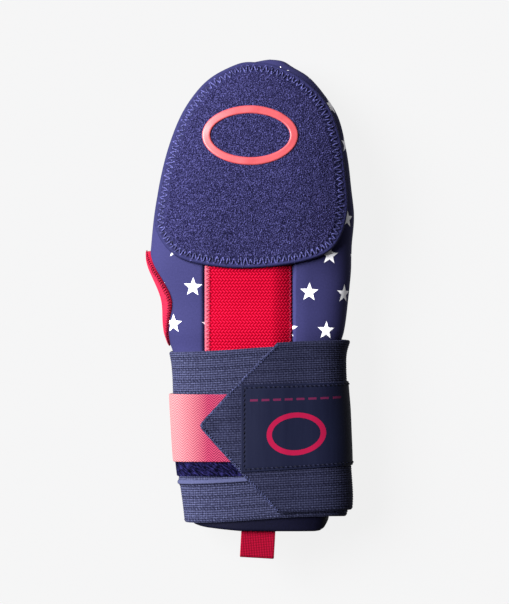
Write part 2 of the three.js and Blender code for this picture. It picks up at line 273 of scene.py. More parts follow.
def addMesh(name, points, faces, faceUv=None, smooth=True):
    mesh = bpy.data.meshes.new(name)
    mesh.from_pydata(toFrame(points).tolist(), [], faces)
    if faceUv is not None:
        layer = mesh.uv_layers.new(name="cloth")
        layer.data.foreach_set("uv", np.asarray(faceUv, float).ravel())
    mesh.update()
    if smooth:
        mesh.polygons.foreach_set("use_smooth", [True] * len(mesh.polygons))
    piece = bpy.data.objects.new(name, mesh)
    bpy.context.collection.objects.link(piece)
    return piece


# A closed piece between an outer and an inner grid; lengths holds u and v in millimetres
def addSlab(name, outer, inner, lengths, closed=False):
    high, wide = outer.shape[:2]
    points = np.concatenate([outer.reshape(-1, 3), inner.reshape(-1, 3)])
    below = high * wide
    faces, uv = [], []

    def corner(i, j, side):
        return side * below + i * wide + j % wide

    def addFace(places):
        faces.append([corner(i, j, side) for i, j, side in places])
        uv.extend(lengths[i, j] * mm for i, j, side in places)

    columns = wide if closed else wide - 1
    for i in range(high - 1):
        for j in range(columns):
            ring = [(i, j), (i, j + 1), (i + 1, j + 1), (i + 1, j)]
            addFace([(a, b, 0) for a, b in ring])
            addFace([(a, b, 1) for a, b in reversed(ring)])
    for j in range(columns):
        addFace([(0, j, 1), (0, j + 1, 1), (0, j + 1, 0), (0, j, 0)])
        addFace([(high - 1, j, 0), (high - 1, j + 1, 0), (high - 1, j + 1, 1), (high - 1, j, 1)])
    if not closed:
        for i in range(high - 1):
            addFace([(i, 0, 0), (i + 1, 0, 0), (i + 1, 0, 1), (i, 0, 1)])
            addFace([(i, wide - 1, 1), (i + 1, wide - 1, 1), (i + 1, wide - 1, 0), (i, wide - 1, 0)])
    return addMesh(name, points, faces, uv)


# Turns all faces of a closed piece outwards
def outwards(piece):
    work = bmesh.new()
    work.from_mesh(piece.data)
    bmesh.ops.recalc_face_normals(work, faces=work.faces)
    work.to_mesh(piece.data)
    work.free()


# Makes a piece and its modifiers into a plain mesh
def bakeModifiers(piece):
    bpy.context.view_layer.update()
    mesh = bpy.data.meshes.new_from_object(piece.evaluated_get(bpy.context.evaluated_depsgraph_get()))
    piece.modifiers.clear()
    piece.data = mesh


def readVectors(mesh, name):
    values = np.empty(len(mesh.vertices) * 3)
    mesh.vertices.foreach_get(name, values)
    return values.reshape(-1, 3)


# The grid moved out along its normals
def grown(points, normals, offset):
    return points + normals * np.asarray(offset)[..., None]


# Materials

def linear(code):
    parts = [int(code[k:k + 2], 16) / 255 for k in (0, 2, 4)]
    return tuple(c / 12.92 if c <= 0.04045 else ((c + 0.055) / 1.055) ** 2.4 for c in parts) + (1,)


# Adds a node, sets its properties and its inputs' values, and links inputs given as sockets
def addNode(tree, kind, options=None, inputs=None):
    node = tree.nodes.new(kind)
    for key, value in (options or {}).items():
        setattr(node, key, value)
    for key, value in (inputs or {}).items():
        if isinstance(value, bpy.types.NodeSocket):
            tree.links.new(value, node.inputs[key])
        else:
            node.inputs[key].default_value = value
    return node


def startMaterial(name, roughness, sheen=0.0, sheenTint="ffffff", specular=0.3):
    material = bpy.data.materials.new(name)
    material.use_nodes = True
    tree = material.node_tree
    shader = tree.nodes["Principled BSDF"]
    shader.inputs["Roughness"].default_value = roughness
    shader.inputs["Specular IOR Level"].default_value = specular
    shader.inputs["Sheen Weight"].default_value = sheen
    shader.inputs["Sheen Roughness"].default_value = 0.45
    shader.inputs["Sheen Tint"].default_value = linear(sheenTint)
    return material, tree, shader


# The piece's own lengths in millimetres, as separate u and v sockets
def clothLengths(tree, turn=0.0, move=(0, 0)):
    place = addNode(tree, "ShaderNodeUVMap", {"uv_map": "cloth"})
    scaled = addNode(tree, "ShaderNodeMapping", {"vector_type": "POINT"}, {
        "Vector": place.outputs["UV"],
        "Location": (move[0], move[1], 0),
        "Rotation": (0, 0, turn),
        "Scale": (1000, 1000, 1000),
    })
    split = addNode(tree, "ShaderNodeSeparateXYZ", None, {"Vector": scaled.outputs["Vector"]})
    return scaled.outputs["Vector"], split.outputs["X"], split.outputs["Y"]


def calculate(tree, steps, values):
    # Each step is a name, an operation and its inputs, which are numbers or earlier names
    for name, operation, *inputs in steps:
        sockets = {k: values.get(one, one) if isinstance(one, str) else one for k, one in enumerate(inputs)}
        values[name] = addNode(tree, "ShaderNodeMath", {"operation": operation}, sockets).outputs[0]
    return values


def mixColours(tree, factor, first, second):
    mix = addNode(tree, "ShaderNodeMix", {"data_type": "RGBA"}, {"Factor": factor})
    for name, value in (("A", first), ("B", second)):
        socket = [s for s in mix.inputs if s.name == name and s.type == "RGBA"][0]
        if isinstance(value, bpy.types.NodeSocket):
            tree.links.new(value, socket)
        else:
            socket.default_value = value
    return [s for s in mix.outputs if s.type == "RGBA"][0]


def finishMaterial(tree, shader, colour, height=None, strength=0.5, distance=0.3):
    tree.links.new(colour, shader.inputs["Base Color"])
    if height is not None:
        bump = addNode(tree, "ShaderNodeBump", None, {
            "Strength": strength,
            "Distance": distance * mm,
            "Height": height,
        })
        tree.links.new(bump.outputs["Normal"], shader.inputs["Normal"])


# Knitted polyester bonded to foam and printed: a smooth close face with a soft sheen
starPrint = {
    "navy": "29284c",
    "navyDeep": "20203f",
    "white": "eeedf2",
    "acrossPitch": 22.4,
    "alongPitch": 21.7,
    "starRadius": 5.5,
    "anchor": (33.9, 136.6),
    "tilt": 2.5,
    "plainAt": (-66, 162),
    "plainReach": 7,
    "knit": 1.1,  # the knit is finer than this; it is drawn as coarse as it needs to show
}


def starPrintedKnit():
    size = starPrint
    material, tree, shader = startMaterial("printedPolyesterKnit", 0.75, 0.0, "b9b8ff", 0.04)
    tilt = math.radians(size["tilt"])
    anchorX, anchorY = size["anchor"]

    def turned(x, y):
        return x * math.cos(tilt) - y * math.sin(tilt), x * math.sin(tilt) + y * math.cos(tilt)

    turnedX, turnedY = turned(anchorX, anchorY)
    vector, u, v = clothLengths(tree, tilt, (-turnedX, -turnedY))
    plainX, plainY = turned(size["plainAt"][0] - anchorX, size["plainAt"][1] - anchorY)
    fold = math.pi / 5
    radius = size["starRadius"]
    inner = radius * 0.42
    values = calculate(tree, [
        ("rowPlace", "DIVIDE", "v", size["alongPitch"]),
        ("row", "ROUND", "rowPlace"),
        ("parity", "FLOORED_MODULO", "row", 2.0),
        ("slide", "MULTIPLY", "parity", size["acrossPitch"] / 2),
        ("slid", "SUBTRACT", "u", "slide"),
        ("columnPlace", "DIVIDE", "slid", size["acrossPitch"]),
        ("column", "ROUND", "columnPlace"),
        ("columnAt", "MULTIPLY", "column", size["acrossPitch"]),
        ("x", "SUBTRACT", "slid", "columnAt"),
        ("rowAt", "MULTIPLY", "row", size["alongPitch"]),
        ("y", "SUBTRACT", "v", "rowAt"),
        ("turn", "ARCTAN2", "x", "y"),
        ("folded", "PINGPONG", "turn", fold),
        ("xx", "MULTIPLY", "x", "x"),
        ("yy", "MULTIPLY", "y", "y"),
        ("sum", "ADD", "xx", "yy"),
        ("reach", "SQRT", "sum"),
        ("cos", "COSINE", "folded"),
        ("sin", "SINE", "folded"),
        ("ahead", "MULTIPLY", "reach", "cos"),
        ("aside", "MULTIPLY", "reach", "sin"),
        ("first", "MULTIPLY", "ahead", inner * math.sin(fold)),
        ("second", "MULTIPLY", "aside", radius - inner * math.cos(fold)),
        ("edge", "ADD", "first", "second"),
        ("inside", "SUBTRACT", radius * inner * math.sin(fold), "edge"),
        ("sharp", "MULTIPLY", "inside", 1.6),
        ("soft", "ADD", "sharp", 0.5),
        ("star", "MINIMUM", "soft", 1.0),
        ("nearX", "COMPARE", "u", plainX, size["plainReach"]),
        ("nearY", "COMPARE", "v", plainY, size["plainReach"]),
        ("plain", "MULTIPLY", "nearX", "nearY"),
        ("printed", "SUBTRACT", "star", "plain"),
        ("mask", "MAXIMUM", "printed", 0.0),
    ], {"u": u, "v": v})
    fine = addNode(tree, "ShaderNodeTexNoise", None, {"Vector": vector, "Scale": 1 / size["knit"], "Detail": 3.0})
    ground = mixColours(tree, fine.outputs["Fac"], linear(size["navyDeep"]), linear(size["navy"]))
    colour = mixColours(tree, values["mask"], ground, linear(size["white"]))
    finishMaterial(tree, shader, colour, fine.outputs["Fac"], 0.25, 0.25)
    return material


# Loop terry bonded to foam: short loops, whose tops are painted lighter as a painted highlight and the gaps between
# them darker as painted shade
terry = {"dark": "0a091a", "mid": "181637", "light": "474676", "loop": 0.8, "speck": 0.8}


def loopedTerry():
    size = terry
    material, tree, shader = startMaterial("loopedCottonTerry", 0.9, 0.02, "8f8fe0", 0.03)
    place = addNode(tree, "ShaderNodeTexCoord")
    vector = place.outputs["Object"]
    cell = addNode(tree, "ShaderNodeTexVoronoi", {"feature": "F1"}, {
        "Vector": vector, "Scale": 1 / (size["loop"] * mm), "Randomness": 1.0})
    speck = addNode(tree, "ShaderNodeTexNoise", None, {
        "Vector": vector, "Scale": 1 / (size["speck"] * mm), "Detail": 2.0, "Roughness": 0.6})
    values = calculate(tree, [
        ("loopTop", "SUBTRACT", 1.0, "distance"),
        ("centred", "SUBTRACT", "speckLevel", 0.5),
        ("strong", "MULTIPLY", "centred", 5.0),
        ("level", "ADD", "strong", 0.4),
        ("tone", "MULTIPLY", "level", "loopTop"),
        ("above", "MAXIMUM", "tone", 0.0),
        ("top", "MINIMUM", "above", 1.0),
    ], {"distance": cell.outputs["Distance"], "speckLevel": speck.outputs["Fac"]})
    # painted shade between the loops, then a painted highlight on the loops
    ground = mixColours(tree, values["loopTop"], linear(size["dark"]), linear(size["mid"]))
    colour = mixColours(tree, values["top"], ground, linear(size["light"]))
    finishMaterial(tree, shader, colour, values["tone"], 0.7, 0.7)
    return material


# Smooth close knit: the terry's pressed edge, the strap's fold (painted lighter, as a painted highlight) and the
# turned hem (painted near-black, as painted shade)
closeKnit = {"roughness": 0.7, "tint": "9a9ae6", "specular": 0.04, "grain": 0.9, "detail": 3.0, "bump": (0.3, 0.3)}
# Liquid silicone rubber, moulded: satin, with a faint skin texture
silicone = {"roughness": 0.42, "tint": "ffffff", "specular": 0.4, "grain": 0.7, "detail": 4.0, "bump": (0.12, 0.1)}
# Folded stretch tape: smooth and slightly glossy
foldedTape = {"roughness": 0.65, "tint": "ff9aa8", "specular": 0.08, "grain": 0.8, "detail": 3.0, "bump": (0.3, 0.3)}


def fineGrained(name, dark, light, size=closeKnit):
    material, tree, shader = startMaterial(name, size["roughness"], 0.0, size["tint"], size["specular"])
    vector, u, v = clothLengths(tree)
    noise = addNode(tree, "ShaderNodeTexNoise", None, {
        "Vector": vector, "Scale": size["grain"], "Detail": size["detail"]})
    colour = mixColours(tree, noise.outputs["Fac"], linear(dark), linear(light))
    finishMaterial(tree, shader, colour, noise.outputs["Fac"], *size["bump"])
    return material


# Knitted elastic: crosswise courses, each a row of small slanted stitches
redElastic = {
    "course": 1.75,
    "stitch": 1.9,
    "selvedgeEnd": -23.5,
    "light": "b8163a",
    "mid": "930018",
    "dark": "590010",
    "selvedge": "924c5a",
}


def knittedElastic():
    size = redElastic
    material, tree, shader = startMaterial("knittedPolyesterElastic", 0.85, 0.0, "ff8a9c", 0.02)
    vector, u, v = clothLengths(tree)
    values = calculate(tree, [
        ("courses", "MULTIPLY", "v", 2 * math.pi / size["course"]),
        ("courseWave", "SINE", "courses"),
        ("lean", "PINGPONG", "v", size["course"]),
        ("leaned", "MULTIPLY", "lean", 1.1),
        ("slanted", "ADD", "u", "leaned"),
        ("stitches", "MULTIPLY", "slanted", 2 * math.pi / size["stitch"]),
        ("stitchWave", "SINE", "stitches"),
        ("half", "MULTIPLY", "courseWave", 0.4),
        ("both", "ADD", "stitchWave", "half"),
        ("scaled", "MULTIPLY", "both", 0.33),
        ("height", "ADD", "scaled", 0.5),
        ("peak", "SUBTRACT", "height", 0.66),
        ("peakFull", "MULTIPLY", "peak", 3.2),
        ("tick", "MAXIMUM", "peakFull", 0.0),
        ("inSelvedge", "SUBTRACT", size["selvedgeEnd"], "u"),
        ("ramp", "MULTIPLY", "inSelvedge", 1.2),
        ("rampLow", "MAXIMUM", "ramp", 0.0),
        ("rampFull", "MINIMUM", "rampLow", 1.0),
        ("pale", "MULTIPLY", "rampFull", 0.75),
    ], {"u": u, "v": v})
    deep = mixColours(tree, values["height"], linear(size["dark"]), linear(size["mid"]))
    ticked = mixColours(tree, values["tick"], deep, linear(size["light"]))
    colour = mixColours(tree, values["pale"], ticked, linear(size["selvedge"]))
    finishMaterial(tree, shader, colour, values["height"], 0.5, 0.4)
    return material


# Woven ribbed elastic: fine crosswise ribs, with a row of dark ticks every few ribs
strapWeave = {
    "rib": 1.34,
    "yarn": 1.4,
    "tickRow": 6.7,
    "tick": 1.9,
    "light": "4f5371",
    "mid": "2a2b42",
    "dark": "0b0c1b",
}


def ribbedElastic():
    size = strapWeave
    material, tree, shader = startMaterial("wovenRibbedElastic", 0.85, 0.0, "a4a8e6", 0.04)
    vector, u, v = clothLengths(tree)
    values = calculate(tree, [
        ("ribs", "MULTIPLY", "v", 2 * math.pi / size["rib"]),
        ("ribWave", "COSINE", "ribs"),
        ("yarns", "MULTIPLY", "u", 2 * math.pi / size["yarn"]),
        ("yarnWave", "SINE", "yarns"),
        ("yarnPart", "MULTIPLY", "yarnWave", 0.4),
        ("weave", "ADD", "ribWave", "yarnPart"),
        ("weaveScaled", "MULTIPLY", "weave", 0.36),
        ("height", "ADD", "weaveScaled", 0.5),
        ("rowPlace", "MULTIPLY", "v", 2 * math.pi / size["tickRow"]),
        ("rowWave", "SINE", "rowPlace"),
        ("rowSharp", "SUBTRACT", "rowWave", 0.6),
        ("rowMask", "MULTIPLY", "rowSharp", 4.0),
        ("leanPart", "MULTIPLY", "v", 0.7),
        ("leaning", "ADD", "u", "leanPart"),
        ("tickPlace", "MULTIPLY", "leaning", 2 * math.pi / size["tick"]),
        ("tickWave", "SINE", "tickPlace"),
        ("tickSharp", "ADD", "tickWave", 0.1),
        ("tickMask", "MULTIPLY", "tickSharp", 2.0),
        ("rowIn", "MAXIMUM", "rowMask", 0.0),
        ("tickIn", "MAXIMUM", "tickMask", 0.0),
        ("ticks", "MULTIPLY", "rowIn", "tickIn"),
        ("tickFull", "MINIMUM", "ticks", 1.0),
        ("dip", "MULTIPLY", "tickFull", 0.4),
        ("relief", "SUBTRACT", "height", "dip"),
        ("tickTone", "MULTIPLY", "tickFull", 0.62),
        ("noiseMiddle", "SUBTRACT", "noise", 0.5),
        ("noiseStrong", "MULTIPLY", "noiseMiddle", 2.4),
        ("noiseLevel", "ADD", "noiseStrong", 0.3),
        ("onRib", "MULTIPLY", "noiseLevel", "height"),
        ("noiseLow", "MAXIMUM", "onRib", 0.0),
        ("speck", "MINIMUM", "noiseLow", 0.8),
        # Towards the right the straps are mixed towards dark: partly the closer weave of the unstretched point,
        # partly painted shade away from the light
        ("slackAndShade", "ADD", "u", 50.0),
        ("slackAndShadeShare", "DIVIDE", "slackAndShade", 110.0),
        ("slackAndShadeLow", "MAXIMUM", "slackAndShadeShare", 0.0),
        ("slackAndShadeFull", "MINIMUM", "slackAndShadeLow", 1.0),
        ("closed", "MULTIPLY", "slackAndShadeFull", 0.6),
    ], {"u": u, "v": v, "noise": addNode(tree, "ShaderNodeTexNoise", None, {
        "Vector": vector, "Scale": 0.9, "Detail": 3.0}).outputs["Fac"]})
    weave = mixColours(tree, values["height"], linear(size["dark"]), linear(size["mid"]))
    speckled = mixColours(tree, values["speck"], weave, linear(size["light"]))
    ticked = mixColours(tree, values["tickTone"], speckled, linear(size["dark"]))
    colour = mixColours(tree, values["closed"], ticked, linear(size["dark"]))  # the weave closes up where it is not stretched, and the same ramp darkens both straps towards the right as painted shade
    finishMaterial(tree, shader, colour, values["relief"], 0.5, 0.35)
    return material


# Brushed nylon loop: a dense dark pile with a slanted lie
pile = {"dark": "010108", "light": "1c1a42"}


def loopPile():
    material, tree, shader = startMaterial("brushedNylonLoop", 0.95, 0.0, "4a46b0", 0.02)
    vector, u, v = clothLengths(tree, math.radians(35))
    stretched = addNode(tree, "ShaderNodeMapping", None, {"Vector": vector, "Scale": (0.3, 1.1, 1.0)})
    noise = addNode(tree, "ShaderNodeTexNoise", None, {
        "Vector": stretched.outputs["Vector"], "Scale": 1.1, "Detail": 4.0, "Roughness": 0.6})
    values = calculate(tree, [
        ("centred", "SUBTRACT", "level", 0.5),
        ("strong", "MULTIPLY", "centred", 5.0),
        ("full", "ADD", "strong", 0.38),
        ("low", "MAXIMUM", "full", 0.0),
        ("lie", "MINIMUM", "low", 1.0),
    ], {"level": noise.outputs["Fac"]})
    colour = mixColours(tree, values["lie"], linear(pile["dark"]), linear(pile["light"]))
    finishMaterial(tree, shader, colour, values["lie"], 0.9, 0.7)
    return material


# Polyester tape woven in herringbone: slanted ribs that turn back at each column. It is painted pale pink towards its
# left end as a painted highlight and deep crimson towards the right, under the strap's point, as a painted shadow
twill = {
    "column": 2.9,
    "rib": 1.45,
    "light": "9c6e6b",
    "mid": "753c48",
    "dark": "8a3049",
    "deep": "4c0622",
    "shadowFrom": -50,
    "shadowTo": -24,
}


def herringboneTwill():
    size = twill
    material, tree, shader = startMaterial("herringbonePolyesterTape", 0.75, 0.02, "ffc0cc", 0.06)
    vector, u, v = clothLengths(tree)
    values = calculate(tree, [
        ("zigzag", "PINGPONG", "u", size["column"]),
        ("slant", "ADD", "v", "zigzag"),
        ("ribs", "MULTIPLY", "slant", 2 * math.pi / size["rib"]),
        ("ribWave", "SINE", "ribs"),
        ("scaled", "MULTIPLY", "ribWave", 0.5),
        ("height", "ADD", "scaled", 0.5),
        # from here to the right the ribs turn from the pale painted highlight to the deep crimson painted shadow
        ("fromLeft", "SUBTRACT", "u", size["shadowFrom"]),
        ("share", "DIVIDE", "fromLeft", size["shadowTo"] - size["shadowFrom"]),
        ("shareLow", "MAXIMUM", "share", 0.0),
        ("shareFull", "MINIMUM", "shareLow", 1.0),
        ("tint", "POWER", "shareFull", 1.5),
    ], {"u": u, "v": v})
    highlightRibs = mixColours(tree, values["height"], linear(size["mid"]), linear(size["light"]))
    shadowRibs = mixColours(tree, values["height"], linear(size["deep"]), linear(size["dark"]))
    colour = mixColours(tree, values["tint"], highlightRibs, shadowRibs)
    finishMaterial(tree, shader, colour, values["height"], 0.5, 0.35)
    return material


# Woven damask label: close satin with a faint grain, a plain oval ring and a row of plain dashes
labelPrint = {
    "ground": "0e1123",
    "groundDeep": "080a1c",
    "print": "74082a",
    "dashColour": "44102c",
    "centre": (30.8, 20.8),
    "radii": (16.4, 12.6),
    "band": 3.0,
    "dashFrom": 5,
    "dashTo": 57,
    "dashPitch": 6.5,
    "dashLength": 4.4,
    "dashMiddle": 41.3,
    "dashHeight": 1.3,
}


def wovenSatin():
    size = labelPrint
    material, tree, shader = startMaterial("wovenSatinLabel", 0.7, 0.0, "8f96c8", 0.06)
    vector, u, v = clothLengths(tree)
    stretched = addNode(tree, "ShaderNodeMapping", None, {"Vector": vector, "Scale": (0.9, 0.08, 1.0)})
    noise = addNode(tree, "ShaderNodeTexNoise", None, {
        "Vector": stretched.outputs["Vector"], "Scale": 0.5, "Detail": 3.0, "Roughness": 0.65})
    wide, tall = size["radii"]
    band = size["band"]
    values = calculate(tree, [
        ("x", "SUBTRACT", "u", size["centre"][0]),
        ("y", "SUBTRACT", "v", size["centre"][1]),
        ("outX", "DIVIDE", "x", wide),
        ("outY", "DIVIDE", "y", tall),
        ("outXX", "MULTIPLY", "outX", "outX"),
        ("outYY", "MULTIPLY", "outY", "outY"),
        ("outer", "ADD", "outXX", "outYY"),
        ("inX", "DIVIDE", "x", wide - band),
        ("inY", "DIVIDE", "y", tall - band),
        ("inXX", "MULTIPLY", "inX", "inX"),
        ("inYY", "MULTIPLY", "inY", "inY"),
        ("inner", "ADD", "inXX", "inYY"),
        ("inOuter", "LESS_THAN", "outer", 1.0),
        ("outInner", "GREATER_THAN", "inner", 1.0),
        ("ring", "MULTIPLY", "inOuter", "outInner"),
        ("fromFirst", "SUBTRACT", "u", size["dashFrom"]),
        ("place", "FLOORED_MODULO", "fromFirst", size["dashPitch"]),
        ("inDash", "LESS_THAN", "place", size["dashLength"]),
        ("afterFirst", "GREATER_THAN", "fromFirst", 0.0),
        ("beforeLast", "LESS_THAN", "u", size["dashTo"]),
        ("rise", "SUBTRACT", "v", size["dashMiddle"]),
        ("away", "ABSOLUTE", "rise"),
        ("inRow", "LESS_THAN", "away", size["dashHeight"] / 2),
        ("one", "MULTIPLY", "inDash", "inRow"),
        ("two", "MULTIPLY", "one", "afterFirst"),
        ("dash", "MULTIPLY", "two", "beforeLast"),
    ], {"u": u, "v": v})
    ground = mixColours(tree, noise.outputs["Fac"], linear(size["groundDeep"]), linear(size["ground"]))
    dashed = mixColours(tree, values["dash"], ground, linear(size["dashColour"]))
    colour = mixColours(tree, values["ring"], dashed, linear(size["print"]))
    finishMaterial(tree, shader, colour, noise.outputs["Fac"], 0.2, 0.2)
    return material


# Square-woven nylon webbing: over and under in a plain grid
webbing = {"yarn": 0.95, "light": "830725", "mid": "72031c", "dark": "300309"}


def plainWebbing():
    size = webbing
    material, tree, shader = startMaterial("wovenNylonWebbing", 0.8, 0.0, "ff8096", 0.02)
    vector, u, v = clothLengths(tree)
    values = calculate(tree, [
        ("across", "MULTIPLY", "u", math.pi / size["yarn"]),
        ("acrossWave", "SINE", "across"),
        ("along", "MULTIPLY", "v", math.pi / size["yarn"]),
        ("alongWave", "SINE", "along"),
        ("weave", "MULTIPLY", "acrossWave", "alongWave"),
        ("bent", "ABSOLUTE", "weave"),
        ("height", "POWER", "bent", 0.6),
    ], {"u": u, "v": v})
    ground = mixColours(tree, values["height"], linear(size["dark"]), linear(size["mid"]))
    noise = addNode(tree, "ShaderNodeTexNoise", None, {"Vector": vector, "Scale": 0.9, "Detail": 2.0})
    lit = addNode(tree, "ShaderNodeMath", {"operation": "MULTIPLY"}, {0: noise.outputs["Fac"], 1: values["height"]})
    colour = mixColours(tree, lit.outputs[0], ground, linear(size["light"]))
    finishMaterial(tree, shader, colour, values["height"], 0.6, 0.5)
    return material


# Twisted polyester sewing thread
def sewingThread(name, dark, light):
    material, tree, shader = startMaterial(name, 0.65, 0.0, "ffffff", 0.08)
    place = addNode(tree, "ShaderNodeTexCoord")
    noise = addNode(tree, "ShaderNodeTexNoise", None, {
        "Vector": place.outputs["Object"], "Scale": 1 / (0.9 * mm), "Detail": 2.0})
    values = calculate(tree, [
        ("centred", "SUBTRACT", "level", 0.5),
        ("strong", "MULTIPLY", "centred", 4.0),
        ("shifted", "ADD", "strong", 0.4),
        ("low", "MAXIMUM", "shifted", 0.0),
        ("sheen", "MINIMUM", "low", 1.0),
    ], {"level": noise.outputs["Fac"]})
    colour = mixColours(tree, values["sheen"], linear(dark), linear(light))
    finishMaterial(tree, shader, colour, noise.outputs["Fac"], 0.3, 0.1)
    return material


# Lining: brushed tricot, seen only inside the mouth and the thumb hole
def brushedLining():
    material, tree, shader = startMaterial("brushedTricotLining", 0.9, 0.1, "7070a0", 0.15)
    place = addNode(tree, "ShaderNodeTexCoord")
    noise = addNode(tree, "ShaderNodeTexNoise", None, {
        "Vector": place.outputs["Object"], "Scale": 1 / (1.5 * mm), "Detail": 3.0})
    colour = mixColours(tree, noise.outputs["Fac"], linear("10111f"), linear("1c1d33"))
    finishMaterial(tree, shader, colour, noise.outputs["Fac"], 0.5, 0.4)
    return material


looks = {
    "shell": starPrintedKnit(),
    # the turned hem: plain navy, painted near-black as painted shade
    "hem": fineGrained("turnedKnitHemPaintedShade", "03030a", "09091c"),
    # the strap's smooth fold: a lighter knit as a painted highlight along its upper face
    "fold": fineGrained("smoothElasticFoldPaintedHighlight", "2a2c44", "3c3f5a"),
    "terry": loopedTerry(),
    "edge": fineGrained("pressedTerryEdge", "15152c", "26264c"),
    "channel": fineGrained("sewnDownTerry", "06060f", "24234a"),
    "silicone": fineGrained("mouldedSiliconeRubber", "853035", "92393f", silicone),
    "elastic": knittedElastic(),
    "binding": fineGrained("foldedNylonBinding", "7e0820", "a01834", foldedTape),
    "strap": ribbedElastic(),
    "pile": loopPile(),
    "tape": herringboneTwill(),
    "label": wovenSatin(),
    "webbing": plainWebbing(),
    "lining": brushedLining(),
    "navyThread": sewingThread("navyPolyesterThread", "0e0e22", "454576"),
    "paleThread": sewingThread("slatePolyesterThread", "0e1022", "3c4062"),
    "darkThread": sewingThread("darkPolyesterThread", "05060e", "12142a"),
    "redThread": sewingThread("redPolyesterThread", "56041a", "8c1030"),
    "pinkThread": sewingThread("pinkPolyesterThread", "5e0e26", "86243c"),
}
print("stage: materials made")


# Camera: straight above, with a long lens, so that a pixel of the picture is a named length there
view = {"pixel": 0.58, "pictureHeight": 604, "distance": 2300, "aimX": 1.9, "aimY": 3.4, "focus": 24, "sensor": 36}


def addCamera():
    size = view
    data = bpy.data.cameras.new("studioCamera")
    data.sensor_width = size["sensor"]
    data.lens = size["sensor"] * (size["distance"] - size["focus"]) / (size["pixel"] * size["pictureHeight"])
    data.clip_end = 10
    camera = bpy.data.objects.new("studioCamera", data)
    middle = (Vector(cadBox[0]) + Vector(cadBox[1])) / 2
    camera.location = (middle.x + size["aimX"] * mm, middle.y + size["aimY"] * mm, size["distance"] * mm)
    bpy.context.collection.objects.link(camera)
    bpy.context.scene.camera = camera


addCamera()


# Thumb hole, in millimetres along the mitt and up from the floor
hole = {"length": 45, "height": 24, "binding": 5, "depth": 1.8, "lip": 0.8, "reach": 22, "middle": 133,
        "ear": 1.7, "perimeter": 120, "girth": 20}


# The terry pad's outline

pad = {
    "foot": 150.2,
    "length": 119.8,
    "width": 109.3,
    "thickness": 3.5,
    "columns": ("across", "along"),
    "outline": (
        (0, 0), (0.55, 0.031), (0.86, 0.1), (1, 0.26), (0.98, 0.46), (0.92, 0.64), (0.79, 0.79),
        (0.54, 0.908), (0.26, 0.972), (0.06, 0.987), (-0.14, 0.974), (-0.42, 0.905), (-0.68, 0.79), (-0.93, 0.57),
        (-1.0, 0.33), (-0.97, 0.175), (-0.79, 0.062), (-0.48, 0.015),
    ),
    "overLeft": 0.968,
    "overRight": 0.98,
    "overSoft": 0.02,
    "spokes": 420,
    "rim": 1.7,
    "channel": 7.0,
    "channelDepth": 0.55,
    "crown": 1.0,
    "seat": 0.3,
    "rimRings": 6,
    "channelRings": 12,
    "middle": 0.47,
}
padCentre = np.array([0, pad["foot"] + pad["length"] * pad["middle"]])


def closedCurve(points, count):
    points = np.asarray(points, float)
    ahead = np.roll(points, -1, 0)
    steps = np.linspace(0, 1, 24, endpoint=False)[:, None]
    line = []
    for k in range(len(points)):
        line.append(smoothStretch(points[k - 1], points[k], ahead[k], ahead[(k + 1) % len(points)], steps))
    line = np.concatenate(line)
    line = np.concatenate([line, line[:1]])
    length = np.concatenate([[0], np.cumsum(np.linalg.norm(np.diff(line, axis=0), axis=1))])
    places = np.linspace(0, length[-1], count, endpoint=False)
    return np.stack([np.interp(places, length, line[:, 0]), np.interp(places, length, line[:, 1])], -1)


def padOutline(count):
    shares = np.array(pad["outline"], float)
    plan = shares * [pad["width"] / 2, pad["length"]] + [0, pad["foot"]]
    outline = closedCurve(plan, count)
    middle = rowAt("middle", outline[:, 1])
    half = rowAt("half", outline[:, 1])
    share = (outline[:, 0] - middle) / np.maximum(half, 0.01)
    reach = np.where(share < 0, pad["overLeft"], pad["overRight"])
    over = np.abs(share) - reach
    held = np.abs(share) - (over + np.sqrt(over ** 2 + pad["overSoft"] ** 2)) / 2
    outline[:, 0] = middle + np.sign(share) * held * half
    return outline


# The padded shell

shell = {
    "dentSize": 46,
    "dentDepth": 0.35,
    "recess": 1.9,
    "deeper": 1.9,
    "grooveDepth": 0.3,
    "foldHeight": 0.3,
    "tipFrom": 248,
    "hem": ((-40, 9), (-36, 5.5), (-31, 3.4), (-26, 2.3), (-16, 1.2), (-6, 0.3),
            (38, 0), (41, 0.6), (43.5, 3), (45.5, 7), (50, 12)),
    "hemRoom": 13,
    "hemInLeft": 0.03,
    "hemInRight": 0.1,
    "hemRound": 1.6,
    "hollowEvery": 6,
    "hemBand": 8.5,
}
elastic = {"width": 50.8, "low": 97.3, "high": 157.2, "thickness": 1.2, "lift": 0.45, "round": 1.0,
           "selvedge": 3.4, "selvedgeRise": 0.25, "bulge": 0.5, "dip": 3.3, "dipWide": 12}


# Dents and soft folds of the body's fabric, as an offset in millimetres
def shellDents(points):
    x, y, z = points[..., 0], points[..., 1], points[..., 2]
    size = shell
    left = elasticShift - elastic["width"] / 2
    right = elasticShift + elastic["width"] / 2
    upper = z > rowAt("centre", y)
    alongPanel = np.clip((y - elastic["low"]) / 4, 0, 1) * np.clip((elastic["high"] - y) / 4, 0, 1)
    acrossPanel = np.clip((x - left + 1.2) / 1.2, 0, 1) * np.clip((right + 1.2 - x) / 1.2, 0, 1)
    panel = acrossPanel * alongPanel * upper
    deeper = size["deeper"] * np.clip((x - right + 13) / 9, 0, 1)
    slow = waves(x, y + z, size["dentSize"], 3) * size["dentDepth"]
    groove = np.exp(-((x - left + 1.0) / 0.8) ** 2) * alongPanel * size["grooveDepth"]
    raised = np.exp(-((x - right - 6) / 5.0) ** 2) * alongPanel * size["foldHeight"]
    resting = np.clip((z - rowAt("under", y) - 1) / 5, 0, 1)
    fade = np.clip((body["length"] - y) / 12, 0, 1)
    return (slow * resting * (1 - panel) - panel * (size["recess"] + deeper) + (raised - groove) * upper) * fade


